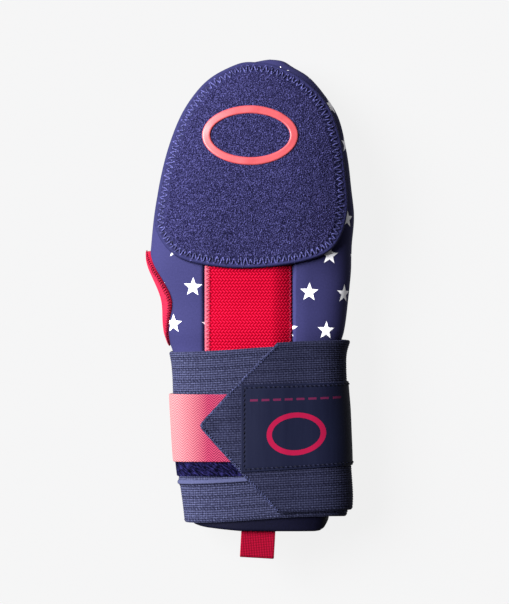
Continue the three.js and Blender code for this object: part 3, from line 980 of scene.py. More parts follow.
# How far the hem's edge lies from its lowest line, across the mitt
def hemLine(x):
    line = np.array(shell["hem"])
    return np.interp(x, line[:, 0], line[:, 1])


# The hem is a little narrower than the wrist that its strap is on
def narrowHem(grid):
    near = np.clip(1 - grid[..., 1] / shell["hemRoom"], 0, 1)
    near = near * near * (3 - 2 * near)
    right = grid[..., 0] > rows["middle"][0]
    middle = rows["middle"][0]
    narrower = near * np.where(right, shell["hemInRight"], shell["hemInLeft"])
    grid[..., 0] = middle + (grid[..., 0] - middle) * (1 - narrower)
    grid[..., 1] += np.clip(1 - grid[..., 1] / 40, 0, 1) ** 2 * hemLine(grid[..., 0])
    return grid


# Padding

# A short cloth simulation on a coarse copy of the body: air pressure lifts the padding between the
# lines where it is sewn or pressed down. How far it lifts at a place is read from the copy.
puff = {
    "columns": 96,
    "voxel": 5,
    "pressure": 4,
    "frames": 20,
    "seam": 3.5,
    "most": 0.9,
    "neighbours": 6,
    "strapTop": 106,
    "rest": 1.5,
}


def padReach(x, y):
    # distance from the pad's middle, and how far its outline lies in that direction
    outline = padOutline(pad["spokes"]) - padCentre
    angle = np.arctan2(outline[:, 1], outline[:, 0])
    order = np.argsort(angle)
    reach = np.linalg.norm(outline, axis=1)[order]
    turn = np.arctan2(y - padCentre[1], x - padCentre[0])
    away = np.hypot(x - padCentre[0], y - padCentre[1])
    return away, np.interp(turn, angle[order], reach, period=2 * math.pi)


def heldPoints(points):
    x, y, z = points[:, 0], points[:, 1], points[:, 2]
    size = puff
    upper = z > rowAt("centre", y)
    away, reach = padReach(x, y)
    padSewn = upper & (np.abs(away - reach) < size["seam"])
    atPanelEdge = np.abs(np.abs(x - elasticShift) - elastic["width"] / 2) < size["seam"]
    panelSewn = upper & atPanelEdge & (y < elastic["high"])
    rise = (z - rowAt("centre", hole["middle"])) / (hole["height"] / 2 + hole["binding"] * 0.62)
    run = (y - hole["middle"]) / (hole["length"] / 2 + hole["binding"])
    holeSewn = (x < -30) & (rise ** 2 + run ** 2 < 1.3)
    return padSewn | panelSewn | holeSewn | (y < size["strapTop"]) | (z < size["rest"])


def simulatePadding():
    size = puff
    pick = np.linspace(0, body["girthSamples"] - 1, size["columns"] + 1).astype(int)[:-1]
    rings = len(rows["y"]) - 1
    grid = np.stack([girths["x"][:rings, pick], np.repeat(rows["y"][:rings, None], len(pick), 1),
                     girths["z"][:rings, pick]], -1)
    wide = len(pick)
    faces = [[i * wide + j, (i + 1) * wide + j, (i + 1) * wide + (j + 1) % wide, i * wide + (j + 1) % wide]
             for i in range(rings - 1) for j in range(wide)]
    faces += [list(range(wide)), list(range((rings - 1) * wide, rings * wide))[::-1]]
    cage = addMesh("paddingCage", grid, faces)
    outwards(cage)
    even = cage.modifiers.new("even", "REMESH")
    even.mode = "VOXEL"
    even.voxel_size = size["voxel"] * mm
    bakeModifiers(cage)
    start, normals = readVectors(cage.data, "co"), readVectors(cage.data, "normal")
    points = (start - [shiftX, shiftY, 0]) / mm
    sewn = cage.vertex_groups.new(name="sewn")
    sewn.add([int(k) for k in np.nonzero(heldPoints(points))[0]], 1.0, "REPLACE")
    cloth = cage.modifiers.new("cloth", "CLOTH")
    cloth.settings.use_pressure = True
    cloth.settings.uniform_pressure_force = size["pressure"]
    cloth.settings.effector_weights.gravity = 0
    cloth.settings.vertex_group_mass = "sewn"
    cloth.point_cache.frame_start = 1
    cloth.point_cache.frame_end = size["frames"]
    for frameNumber in range(1, size["frames"] + 1):
        bpy.context.scene.frame_set(frameNumber)
    done = cage.evaluated_get(bpy.context.evaluated_depsgraph_get()).to_mesh()
    moved = np.sum((readVectors(done, "co") - start) * normals, axis=1) / mm
    bpy.data.objects.remove(cage)
    bpy.context.scene.frame_set(1)
    print("stage: padding simulated", len(points), "points, moved up to", round(float(moved.max()), 2), "mm")
    tree = KDTree(len(points))
    for k, point in enumerate(points):
        tree.insert(point, k)
    tree.balance()
    return tree, size["most"] * np.tanh(moved / size["most"])


padding = simulatePadding()


# How far the padding lifts at each point, in millimetres
def puffAt(points):
    lifted = np.zeros(points.shape[:-1])
    if padding is None:
        return lifted
    tree, moved = padding
    for index in np.ndindex(lifted.shape):
        near = tree.find_n(points[index], puff["neighbours"])
        weights = [1 / (distance + 1) for place, number, distance in near]
        lifted[index] = sum(w * moved[one[1]] for w, one in zip(weights, near)) / sum(weights)
    return lifted


# The free fabric of the shell lifts; under the pad and the panel it is pressed down
def shellPuff(points):
    away, reach = padReach(points[..., 0], points[..., 1])
    upper = points[..., 2] > rowAt("centre", points[..., 1])
    panel = (np.abs(points[..., 0] - elasticShift) < elastic["width"] / 2) & (points[..., 1] < elastic["high"])
    return puffAt(points) * np.where(upper & ((away < reach) | panel), 0, 1)


def addShell():
    columns = body["girthSamples"] - 1
    ySteps = rows["y"]
    last = len(ySteps) - 1
    grid = np.stack([girths["x"][:last, :columns], np.repeat(ySteps[:last, None], columns, 1),
                     girths["z"][:last, :columns]], -1)
    grid = narrowHem(grid)
    normals = gridNormals(grid, True)
    outer = grown(grid, normals, shellDents(grid) + shellPuff(grid))
    outer[..., 2] = np.maximum(outer[..., 2], 0)
    every = shell["hollowEvery"]
    inside = makeGirths(1)
    shorten = (body["length"] - body["tipWall"]) / body["length"]
    hollow = np.stack([inside["x"][:last:every, :columns], np.repeat(ySteps[:last:every, None], columns, 1) * shorten,
                       inside["z"][:last:every, :columns]], -1)
    hollow = narrowHem(hollow)
    lip = []
    for turn in np.linspace(0, math.pi, 9)[1:-1]:
        middle = (outer[0] + hollow[0]) / 2
        halfWall = (outer[0] - hollow[0]) / 2
        ring = middle + halfWall * math.cos(turn)
        ring[:, 1] -= shell["hemRound"] * math.sin(turn)
        lip.append(ring)
    rings = np.concatenate([outer[::-1], np.array(lip), hollow])
    high, wide = rings.shape[:2]
    tipOuter = np.array([rows["middle"][-1], ySteps[-1], rows["centre"][-1]])
    tipInner = tipOuter * [1, shorten, 1]
    points = np.concatenate([rings.reshape(-1, 3), [tipOuter], [tipInner]])
    # near the tip the print follows the curve of the fabric, not its place in plan
    bend = np.where(ySteps[1:] > shell["tipFrom"], np.diff(rows["half"] + rows["rise"]) / 2, 0)
    alongCloth = np.concatenate([[0], np.cumsum(np.hypot(np.diff(ySteps), bend))])[:last]
    girthLength = girths["girth"][:last, None] * np.linspace(0, 1, wide + 1)[None, :] - girths["zero"][:last, None]
    lengths = np.stack([girthLength, np.repeat(alongCloth[:, None], wide + 1, 1)], -1)
    hemLengths = np.repeat(lengths[:1], len(lip), 0)
    hollowLengths = lengths[::every]
    lengths = np.concatenate([lengths[::-1], hemLengths, hollowLengths])
    faces, uv = [], []
    for i in range(high - 1):
        for j in range(wide):
            ring = [(i, j), (i + 1, j), (i + 1, j + 1), (i, j + 1)]
            faces.append([a * wide + b % wide for a, b in ring])
            uv.extend(lengths[a, b] * mm for a, b in ring)
    for tip, row, flip in ((high * wide, 0, 1), (high * wide + 1, high - 1, -1)):
        for j in range(wide):
            ring = [(row, j), (row, j + 1)][::flip]
            faces.append([row * wide + b % wide for a, b in ring] + [tip])
            uv.extend([lengths[a, b] * mm for a, b in ring] + [lengths[row, j] * mm])
    return addMesh("handShell", points, faces, uv), len(outer), wide


shellPiece, outerRows, wideColumns = addShell()
shellPiece.data.materials.append(looks["shell"])
shellPiece.data.materials.append(looks["lining"])
shellPiece.data.materials.append(looks["hem"])
inner = [index // wideColumns >= outerRows + 3 and index < len(shellPiece.data.polygons)
         for index in range(len(shellPiece.data.polygons))]
shellPiece.data.polygons.foreach_set("material_index", [int(one) for one in inner])


# The hem is turned over and sewn down in plain navy without the print; its band is painted near-black as painted
# shade where it curves down to the floor
for face in shellPiece.data.polygons:
    if face.material_index == 0 and (face.center.y - shiftY) / mm < shell["hemBand"]:
        face.material_index = 2


# Cuts the thumb hole with an oval bar that stops inside the body
def cutThumbHole(piece):
    y0 = hole["middle"]
    z0 = rowAt("centre", y0)
    left = rowAt("middle", y0) - rowAt("half", y0)
    turn = np.linspace(0, 2 * math.pi, 97)[:-1]
    ringY = y0 + (hole["length"] / 2 + hole["binding"] - 0.6) * np.cos(turn)
    ringZ = z0 + (hole["height"] / 2 + hole["depth"] - 0.4) * np.sin(turn)
    rings = [np.stack([np.full_like(turn, x), ringY, ringZ], -1) for x in (left - 20, left + hole["reach"])]
    points = np.concatenate(rings)
    count = len(turn)
    faces = [[k, (k + 1) % count, count + (k + 1) % count, count + k] for k in range(count)]
    faces += [list(range(count))[::-1], list(range(count, 2 * count))]
    cutter = addMesh("holeCutter", points, faces)
    cut = piece.modifiers.new("hole", "BOOLEAN")
    cut.operation = "DIFFERENCE"
    cut.solver = "MANIFOLD"
    cut.object = cutter
    bakeModifiers(piece)
    bpy.data.objects.remove(cutter)


cutThumbHole(shellPiece)
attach(shellPiece, "root")
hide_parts("hand_shell")
print("stage: shell made", len(shellPiece.data.polygons))


# The terry pad

# A grid over the pad: rings from the outline to the middle. Each near ring lies at its distance
# from the edge in millimetres, and the others share out what is left.
def padRings(near, farCount, count):
    outline = padOutline(count)
    reach = np.linalg.norm(outline - padCentre, axis=1)
    tangent = np.roll(outline, -1, 0) - np.roll(outline, 1, 0)
    tangent /= np.linalg.norm(tangent, axis=1, keepdims=True)
    towards = (padCentre - outline) / reach[:, None]
    slant = np.maximum(np.abs(tangent[:, 0] * towards[:, 1] - tangent[:, 1] * towards[:, 0]), 0.4)
    share = near[:, None] / slant[None, :] / reach[None, :]
    rest = np.linspace(0, 1, farCount + 2)[1:-1, None]
    share = np.concatenate([share, share[-1:] + (1 - share[-1:]) * rest])
    distance = share * reach[None, :] * slant[None, :]
    return outline[None] + (padCentre - outline)[None] * share[..., None], distance


def padHeight(distance, x, y):
    size = pad
    edge = roundness(distance, size["rim"])
    channel = np.clip((distance - size["rim"]) / 1.2, 0, 1) * np.clip((size["channel"] - distance) / 1.6, 0, 1)
    crown = size["crown"] * np.clip((distance - size["channel"]) / 22, 0, 1) ** 0.6
    slow = waves(x, y, 30, 8) * 0.22 + waves(x, y, 7, 9) * 0.08
    inside = np.clip((distance - size["channel"]) / 3, 0, 1)
    flat = size["seat"] + size["thickness"] * edge - size["channelDepth"] * channel
    return flat + (crown - 0.6 + slow) * inside * 0.8


# The pad's upper side, its normals and its height over the body
def padSurface(near, farCount, count):
    plan, distance = padRings(near, farCount, count)
    base = topPoint(plan[..., 0], plan[..., 1])
    normals = gridNormals(base, True)
    normals *= np.sign(normals[..., 2:3] + 1e-6)
    return base, normals, padHeight(distance, plan[..., 0], plan[..., 1]) + puffAt(base)


def addPad():
    near = np.array([0, 0.05, 0.16, 0.36, 0.7, 1.2, 1.8, 2.3, 2.8, 3.4, 4.2, 5, 5.8, 6.6, 7.2, 7.8, 8.6, 9.6])
    base, normals, height = padSurface(near, 60, pad["spokes"])
    outer = grown(base, normals, height)
    lowerCount = 8
    lower = grown(base[:lowerCount], normals[:lowerCount], pad["seat"])
    rings = np.concatenate([lower[::-1], outer[1:]])
    high, wide = rings.shape[:2]
    middle = np.mean(outer[-1], axis=0)
    points = np.concatenate([rings.reshape(-1, 3), [middle], [middle - [0, 0, pad["thickness"] + 0.6]]])
    lengths = rings[..., :2]
    lengths = np.concatenate([lengths, lengths[:, :1]], 1)
    faces, uv, slots = [], [], []
    for i in range(high - 1):
        for j in range(wide):
            ring = [(i, j), (i, j + 1), (i + 1, j + 1), (i + 1, j)]
            faces.append([a * wide + b % wide for a, b in ring])
            uv.extend(lengths[a, b] * mm for a, b in ring)
            slots.append(1 if i < lowerCount + pad["rimRings"] else 2 if i < lowerCount + pad["channelRings"] else 0)
    for tip, row, step in ((high * wide, high - 1, 1), (high * wide + 1, 0, -1)):
        for j in range(wide):
            ring = [(row, j), (row, j + 1)][::step]
            faces.append([row * wide + b % wide for a, b in ring] + [tip])
            uv.extend([lengths[a, b] * mm for a, b in ring] + [points[tip][:2] * mm])
            slots.append(0)
    piece = addMesh("terryPanel", points, faces, uv)
    piece.data.materials.append(looks["terry"])
    piece.data.materials.append(looks["edge"])
    piece.data.materials.append(looks["channel"])
    piece.data.polygons.foreach_set("material_index", slots)
    outwards(piece)
    return piece


padPiece = addPad()
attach(padPiece, "root")
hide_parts("terry_panel")
print("stage: pad made", len(padPiece.data.polygons))


# The knitted elastic panel

# How high the panel stands: it dips at its right edge, where the fabric rises over it
def elasticHeight(across, along):
    size = elastic
    fromRight = size["width"] - across
    dip = size["dip"] * np.clip(1 - fromRight / size["dipWide"], 0, 1) ** 1.5
    bulge = size["bulge"] * np.sin(np.pi * np.clip(across / size["width"], 0, 1))
    return size["lift"] + bulge - dip + waves(across, along, 26, 31) * 0.1


def addElastic():
    size = elastic
    left = elasticShift - size["width"] / 2
    across = edgeSteps(size["width"], size["round"], 110)
    along = np.linspace(size["low"], size["high"], 180)
    base = topPoint(left + across[None, :], along[:, None])
    normals = gridNormals(base)
    distance = np.minimum(across, size["width"] - across)
    full = roundness(distance, size["round"])[None, :]
    selvedge = size["selvedgeRise"] * (across < size["selvedge"])
    courses = 0.05 * np.sin(2 * math.pi * along / redElastic["course"])[:, None]
    middle = elasticHeight(across[None, :], along[:, None]) - size["thickness"] / 2 + 0.5 * puffAt(base)
    half = size["thickness"] / 2 * full
    lengths = np.stack(np.meshgrid(left + across, along), -1)
    upper = middle + half + (selvedge[None, :] + courses) * full
    return addSlab("elasticPanel", grown(base, normals, upper), grown(base, normals, middle - half), lengths)


elasticPiece = addElastic()
elasticPiece.data.materials.append(looks["elastic"])
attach(elasticPiece, "root")
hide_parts("elastic_panel")
print("stage: elastic made")


# The binding of the thumb hole

def leftSurface(y, z):
    y, z = np.broadcast_arrays(np.asarray(y, float), np.asarray(z, float))
    up = np.clip(np.abs((z - rowAt("centre", y)) / rowAt("rise", y)), 0, 0.999)
    x = rowAt("middle", y) - rowAt("half", y) * (1 - up ** body["square"]) ** (1 / body["square"])
    return np.stack([x, y, z], -1)


# The binding stands out more towards its upper end
def earLift(turn):
    return hole["ear"] * (0.5 + 0.5 * np.cos(turn))


# Points and normals of the flank round the hole; share goes from the binding's inner to its outer edge
def bindingPlace(turn, share, spread=0.5):
    size = hole
    y = size["middle"] + (size["length"] / 2 + size["binding"] * share) * np.cos(turn)
    rise = size["height"] / 2 + (size["binding"] + 0.2) * share * 0.62
    z = rowAt("centre", size["middle"]) + rise * np.sin(turn)
    alongStep = leftSurface(y + spread, z) - leftSurface(y - spread, z)
    upStep = leftSurface(y, z + spread) - leftSurface(y, z - spread)
    normals = unit(np.cross(upStep, alongStep))
    return leftSurface(y, z), normals * np.sign(-normals[..., :1])


def addBinding():
    size = hole
    turn = np.linspace(0, 2 * math.pi, 241)[:-1]
    profile = []
    wall = body["padWall"] + 2 * size["lip"] - 0.6
    count = 36
    for k in range(count):
        angle = 2 * math.pi * k / count
        square = 2 / 3.2
        d = 0.5 - 0.5 * np.sign(math.cos(angle)) * abs(math.cos(angle)) ** square
        w = 0.5 * np.sign(math.sin(angle)) * abs(math.sin(angle)) ** square
        groove = 0.35 * math.exp(-((d - 0.52) / 0.07) ** 2) if w > 0.3 else 0
        profile.append((d, w * wall - groove * np.sign(w)))
    points = np.zeros((len(profile), len(turn), 3))
    for k, (d, w) in enumerate(profile):
        base, normals = bindingPlace(turn, d)
        points[k] = grown(base, normals, w - wall / 2 + size["lip"] + earLift(turn))
    high, wide = points.shape[:2]
    uv, faces = [], []
    for i in range(high):
        for j in range(wide):
            ring = [(i, j), (i, j + 1), (i + 1, j + 1), (i + 1, j)]
            faces.append([(a % high) * wide + b % wide for a, b in ring])
            uv.extend((np.array([b / wide * size["perimeter"], a / high * size["girth"]]) * mm) for a, b in ring)
    piece = addMesh("thumbBinding", points, faces, uv)
    piece.data.materials.append(looks["binding"])
    return piece


bindingPiece = addBinding()
outwards(bindingPiece)
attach(bindingPiece, "root")
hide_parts("thumb_binding")
print("stage: binding made")


# The wrist strap and what is on it

strap = {
    "hemShow": 5.3,
    "width": 99,
    "thickness": 2.2,
    "gap": 0.3,
    "tilt": 0.04,
    "shift": 3.6,
    "edgeRound": 1.1,
    "pointReach": 29.7,
    "pointLength": 46,
    "pointRise": 2.5,
    "endReach": 30,
    "slackAndShadeShift": 62,  # the pointed end isn't stretched, so its weave is closer and darker; this shift also carries the painted shade that grows towards the right
    "ramp": 30,
    "ribRise": 0.13,
    "foldAt": 23.4,
    "foldWide": 1.3,
    "foldRise": 1.3,
    "foldBand": (22.6, 24.6),
    "girthFrom": 60,
    "girthSteps": 150,
}
tape = {"width": 39, "thickness": 1.0, "drop": 26.5, "tuck": 33, "loopShow": 8.3, "loopThickness": 0.7}
strapTop = strap["hemShow"] + strap["width"]
besideTape = 2 * strap["gap"] + strap["thickness"]
overTape = besideTape + tape["loopThickness"] + tape["thickness"] + 2 * strap["gap"]
tapeEnd = tape["tuck"] - strap["pointReach"]


def standOff(x, above):
    share = np.clip((x - tapeEnd) / strap["ramp"], 0, 1)
    share = 1 - share * share * (3 - 2 * share)
    return besideTape + share * above * (overTape - besideTape)


# Rows across a strap, close enough to carry its ribs
def ribSteps():
    radius = strap["edgeRound"]
    ends = np.array((0, 0.04, 0.14, 0.32, 0.6)) * radius
    middle = np.arange(radius, strap["width"] - radius, strapWeave["rib"] / 4)
    return np.concatenate([ends, middle, strap["width"] - ends[::-1]])


def ribHeight(along):
    return strap["ribRise"] * np.cos(2 * math.pi * along / strapWeave["rib"])


# Small waves that a stretched strap has along its edges
def strapWaves(u, y, seed):
    return waves(u, y, 34, seed) * 0.16


# Where a strap is clear of the floor and can wave
def clearOfFloor(base):
    return base[..., 2] > rowAt("under", base[..., 1]) + 2


# 1 on the upper side and 0 on the underside, with a short step between
def upperShare(base):
    return np.clip((base[..., 2] - rowAt("centre", base[..., 1])) / 4 + 0.5, 0, 1)


def addInnerStrap():
    size = strap
    share = np.linspace(0, 1, size["girthSteps"] + 1)[None, :]
    uPlace = share * girthAt("girth", size["girthFrom"]) - girthAt("zero", size["girthFrom"])
    along = ribSteps()
    x = wrapPoint(uPlace, size["girthFrom"])[..., 0]
    low = size["hemShow"] + size["tilt"] * x + 0.6 * np.sin(uPlace / 17.0)
    y = low + along[:, None] * (1 + 0 * x)
    # the section's girth changes along the wrist, so u is scaled to each row's own girth
    uHere = share * girthAt("girth", y) - girthAt("zero", y)
    base = wrapPoint(uHere[:, :-1], y[:, :-1])
    normals = gridNormals(base, True)
    distance = np.minimum(along, size["width"] - along)
    full = roundness(distance, size["edgeRound"])[:, None]
    middle = size["gap"] + size["thickness"] / 2 + 0 * base[..., 0]
    half = size["thickness"] / 2 * full
    lift = strapWaves(uHere[:, :-1], y[:, :-1], 21) * 0.6
    lengths = np.stack([uHere, along[:, None] + 0 * y], -1)
    rim = size["foldRise"] * np.exp(-((along[:, None] - size["foldAt"]) / size["foldWide"]) ** 2)
    upper = base[..., 2] > rowAt("centre", base[..., 1])
    outside = lift * clearOfFloor(base) + full * ribHeight(along)[:, None] + rim * upper
    return addSlab("strapInner", grown(base, normals, middle + half + outside),
                   grown(base, normals, middle - half), lengths, closed=True)


innerPiece = addInnerStrap()
innerPiece.data.materials.append(looks["strap"])
innerPiece.data.materials.append(looks["fold"])
cloth = innerPiece.data.uv_layers["cloth"].data
# Only the fold's upward faces get the lighter knit: a painted highlight on a real smooth fold
for face in innerPiece.data.polygons:  # the smooth fold below the loop strip
    along = cloth[face.loop_start].uv.y / mm
    if strap["foldBand"][0] < along < strap["foldBand"][1] and face.normal.z > 0.2:
        face.material_index = 1
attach(innerPiece, "root")
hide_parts("strap_inner")
print("stage: inner strap made")


# A flat strip on the wrap, from its left edge at leftU to its right edge at rightX on the upper side
def addStrip(name, lowY, highY, rightX, foot, thickness, look, rounding, leftU, count=150):
    rightU = float(wrapLength(np.array([rightX]), np.array([(lowY + highY) / 2]))[0])
    across = edgeSteps(rightU - leftU, rounding, count) + leftU
    along = edgeSteps(highY - lowY, rounding, 40) + lowY
    base = wrapPoint(across[None, :], along[:, None])
    normals = gridNormals(base)
    distance = np.minimum.outer(np.minimum(along - lowY, highY - along), np.minimum(across - leftU, rightU - across))
    full = roundness(distance, rounding)
    middle = foot + thickness / 2
    half = thickness / 2 * full
    lengths = np.stack(np.meshgrid(across, along), -1)
    piece = addSlab(name, grown(base, normals, middle + half), grown(base, normals, middle - half), lengths)
    piece.data.materials.append(look)
    return piece


tapeLow = strapTop - tape["drop"] - tape["width"]
leftUnder = -98.0
loopPiece = addStrip("loopStrip", tapeLow - tape["loopShow"], tapeLow + tape["width"] - tape["loopShow"], tapeEnd,
                     besideTape, tape["loopThickness"], looks["pile"], 0.35, leftUnder)
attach(loopPiece, "root")
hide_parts("loop_strip")
tapePiece = addStrip("keeperTape", tapeLow, tapeLow + tape["width"], tapeEnd,
                     besideTape + tape["loopThickness"] + strap["gap"], tape["thickness"], looks["tape"],
                     0.45, leftUnder)
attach(tapePiece, "root")
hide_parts("keeper_tape")
print("stage: tape and loop strip made")


def outerEdges(share):
    # the left edge's place in plan at each share of the strap's width
    size = strap
    low = size["hemShow"] + size["shift"]
    tip = size["width"] / 2 + size["pointRise"]
    y = share * size["width"]
    towards = np.where(y < tip, 1 - y / tip, (y - tip) / (size["width"] - tip))
    soft = np.sqrt(towards ** 2 + 0.0009) - 0.02
    return -size["pointReach"] + size["pointLength"] * soft, low + y


# The length round the body at which the outer strap's face lies over a place in plan
def outerLength(x, y):
    u = wrapLength(x, y)
    for attempt in range(4):
        face = grown(wrapPoint(u, y), wrapNormal(u, y), standOff(x, 1) + strap["thickness"])
        u = u + x - face[:, 0]
    return u


# The pointed end is pressed in a little beside the patch
def pointDimple(x, y):
    low = np.exp(-((x + 18) / 5.0) ** 2 - ((y - 58) / 4.0) ** 2)
    high = np.exp(-((x + 12) / 6.0) ** 2 - ((y - 67) / 6.0) ** 2)
    return (0.9 * high - 1.5 * low) * np.clip((-3 - x) / 4, 0, 1)


def addOuterStrap():
    size = strap
    share = ribSteps() / size["width"]
    leftX, leftY = outerEdges(share)
    leftY = leftY + size["tilt"] * leftX
    startU = outerLength(leftX, leftY)
    endU = girthAt("girth", leftY) - girthAt("zero", leftY) - 6.0 - rowAt("middle", leftY) + size["endReach"]
    steps = np.concatenate([[0, 0.012, 0.04, 0.1, 0.25, 0.5, 0.8, 1.15], np.linspace(2, 100, 140)])
    steps = steps / steps[-1]
    u = startU[:, None] + (endU - startU)[:, None] * steps[None, :]
    first = wrapPoint(u, leftY[:, None] + 0 * u)
    y = (size["hemShow"] + size["shift"] + share * size["width"])[:, None] + size["tilt"] * first[..., 0]
    base = wrapPoint(u, y)
    normals = gridNormals(base)
    above = upperShare(base)
    side = np.minimum(share, 1 - share)[:, None] * size["width"]
    end = (u - startU[:, None]) * 0.75
    full = roundness(np.minimum(side + 0 * u, end), size["edgeRound"])
    middle = standOff(base[..., 0], above) + size["thickness"] / 2
    half = size["thickness"] / 2 * full
    lift = (strapWaves(u, y, 22) + pointDimple(base[..., 0], y)) * clearOfFloor(base)
    along = (share * size["width"])[:, None] + 0 * u
    lengths = np.stack([u + size["slackAndShadeShift"], along], -1)
    ribs = ribHeight(along) * full
    outside = grown(base, normals, middle + half + lift + ribs)
    outside[..., 2] = np.maximum(outside[..., 2], 0)  # it rests flat
    return addSlab("strapOuter", outside, grown(base, normals, middle - half), lengths)


outerPiece = addOuterStrap()
outerPiece.data.materials.append(looks["strap"])
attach(outerPiece, "root")
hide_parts("strap_outer")
print("stage: outer strap made")


# The woven patch

label = {
    "width": 62,
    "overFlank": 6.5,
    "height": 50.4,
    "thickness": 0.7,
    "inset": 24.5,
    "round": 0.5,
    "seam": 1.7,
    "tiltLow": 0.055,
    "tiltHigh": 0.018,
}


# The patch's lower edge, and its left edge as a length round the body
labelLow = strap["hemShow"] + strap["shift"] + (strap["width"] - label["height"]) / 2
labelMiddle = labelLow + label["height"] / 2
labelLeft = float(wrapLength(np.array([label["inset"] - strap["pointReach"]]), np.array([labelMiddle]))[0])


def labelPlace(across, along):
    # across and along are millimetres from the patch's lower left corner
    size = label
    u = labelLeft + across
    first = wrapPoint(u, labelLow + along + 0 * u)
    tilt = size["tiltLow"] + (size["tiltHigh"] - size["tiltLow"]) * along / size["height"]
    y = labelLow + along + tilt * first[..., 0]
    base = wrapPoint(u, y)
    above = upperShare(base)
    offset = standOff(base[..., 0], above) + strap["thickness"] + strap["gap"]
    offset = offset + strapWaves(u, y, 22)
    return base, offset


def addLabel():
    size = label
    girthWidth = size["width"] + size["overFlank"]
    across = edgeSteps(girthWidth, size["round"], 110)
    along = edgeSteps(size["height"], size["round"], 90)
    base, offset = labelPlace(across[None, :], along[:, None])
    normals = gridNormals(base)
    side = np.minimum.outer(np.minimum(along, size["height"] - along), np.minimum(across, girthWidth - across))
    full = roundness(side, size["round"])
    seam = 0.22 * np.exp(-((side - size["seam"]) / 0.5) ** 2)
    seam = seam - 0.12 * np.exp(-((across[None, :] - 24) / 3.0) ** 2)
    lower = offset + size["thickness"] * 0.3 * (1 - full)
    upper = offset + size["thickness"] * (0.3 + 0.7 * full) - seam
    lengths = np.stack(np.meshgrid(across, along), -1)
    return addSlab("labelPatch", grown(base, normals, upper), grown(base, normals, lower), lengths)


labelPiece = addLabel()
labelPiece.data.materials.append(looks["label"])
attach(labelPiece, "root")
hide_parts("label_patch")
print("stage: label made")


# The raised ring on the pad

badge = {"length": 54, "height": 34, "band": 4.6, "thickness": 0.9, "drop": 44, "round": 0.8}


def addBadge():
    size = badge
    turn = np.linspace(0, 2 * math.pi, 181)[:-1]
    middleY = pad["foot"] + pad["length"] - size["drop"]
    across = edgeSteps(size["band"], size["round"], 8)
    rx = size["length"] / 2 - size["band"] + across[:, None]
    ry = size["height"] / 2 - size["band"] + across[:, None]
    x = rx * np.cos(turn)[None, :]
    y = middleY + ry * np.sin(turn)[None, :]
    base = topPoint(x, y)
    spread = 0.5
    alongX = topPoint(x + spread, y) - topPoint(x - spread, y)
    alongY = topPoint(x, y + spread) - topPoint(x, y - spread)
    normals = unit(np.cross(alongX, alongY))
    seat = padHeight(20 + 0 * x, x, y) + 0.05 + puffAt(base)
    full = roundness(np.minimum(across, size["band"] - across), size["round"])[:, None]
    upper = seat + size["thickness"] * full
    lower = seat - 0.4 + 0 * full
    lengths = np.stack([np.repeat((np.linspace(0, 1, len(turn) + 1) * 140)[None, :], len(across), 0),
                        np.repeat(across[:, None], len(turn) + 1, 1)], -1)
    piece = addSlab("badgeRing", grown(base, normals, upper), grown(base, normals, lower), lengths, closed=True)
    piece.data.materials.append(looks["silicone"])
    outwards(piece)
    return piece


badgePiece = addBadge()
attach(badgePiece, "root")
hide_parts("badge_ring")
print("stage: badge made")


# The pull tab

tab = {"width": 19.7, "length": 16.5, "root": 9, "webbing": 1.1, "loop": 1.2, "offset": 4.6, "skew": -3.3}


def addTab():
    size = tab
    outside = 2 * size["webbing"] + size["loop"]
    radius = outside / 2 - size["webbing"] / 2
    inwards = np.linspace(size["root"], radius - size["length"], 46)
    flare = 0.5 * size["webbing"] + 0.12
    flare = flare + (radius - 0.5 * size["webbing"] - 0.12) * np.clip((-inwards + 1) / 10, 0, 1)
    bend = np.linspace(math.pi / 2, 3 * math.pi / 2, 15)[1:-1]
    endY = radius - size["length"]
    pathY = np.concatenate([inwards, endY + radius * np.cos(bend), inwards[::-1]])
    pathZ = np.concatenate([flare, radius * np.sin(bend), -flare[::-1]])
    path = np.stack([pathY, pathZ], -1)
    step = np.gradient(path, axis=0)
    step /= np.linalg.norm(step, axis=1, keepdims=True)
    side = np.stack([step[:, 1], -step[:, 0]], -1)
    across = edgeSteps(size["width"], 0.7, 34)
    full = roundness(np.minimum(across, size["width"] - across), 0.7)
    half = size["webbing"] / 2 * full[None, :]
    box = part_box("pull_tab")
    middleZ = (box[0][2] + box[1][2]) / 2 / mm
    turn = math.radians(size["skew"])

    def place(sign):
        y = path[:, 0][:, None] + sign * side[:, 0][:, None] * half
        z = path[:, 1][:, None] + sign * side[:, 1][:, None] * half + middleZ
        x = across[None, :] - size["width"] / 2 + 0 * y
        return np.stack([size["offset"] + x * math.cos(turn) - y * math.sin(turn),
                         x * math.sin(turn) + y * math.cos(turn), z], -1)

    length = np.concatenate([[0], np.cumsum(np.linalg.norm(np.diff(path, axis=0), axis=1))])
    lengths = np.stack(np.meshgrid(across, length), -1)
    piece = addSlab("pullTab", place(1), place(-1), lengths)
    piece.data.materials.append(looks["webbing"])
    outwards(piece)
    return piece


tabPiece = addTab()
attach(tabPiece, "root")
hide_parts("pull_tab")
print("stage: tab made")


# Sewn threads

def startTree(name, inputs):
    tree = bpy.data.node_groups.new(name, "GeometryNodeTree")
    for title, kind in inputs:
        tree.interface.new_socket(title, in_out="INPUT", socket_type="NodeSocket" + kind)
    tree.interface.new_socket("Geometry", in_out="OUTPUT", socket_type="NodeSocketGeometry")
    return tree, addNode(tree, "NodeGroupInput").outputs


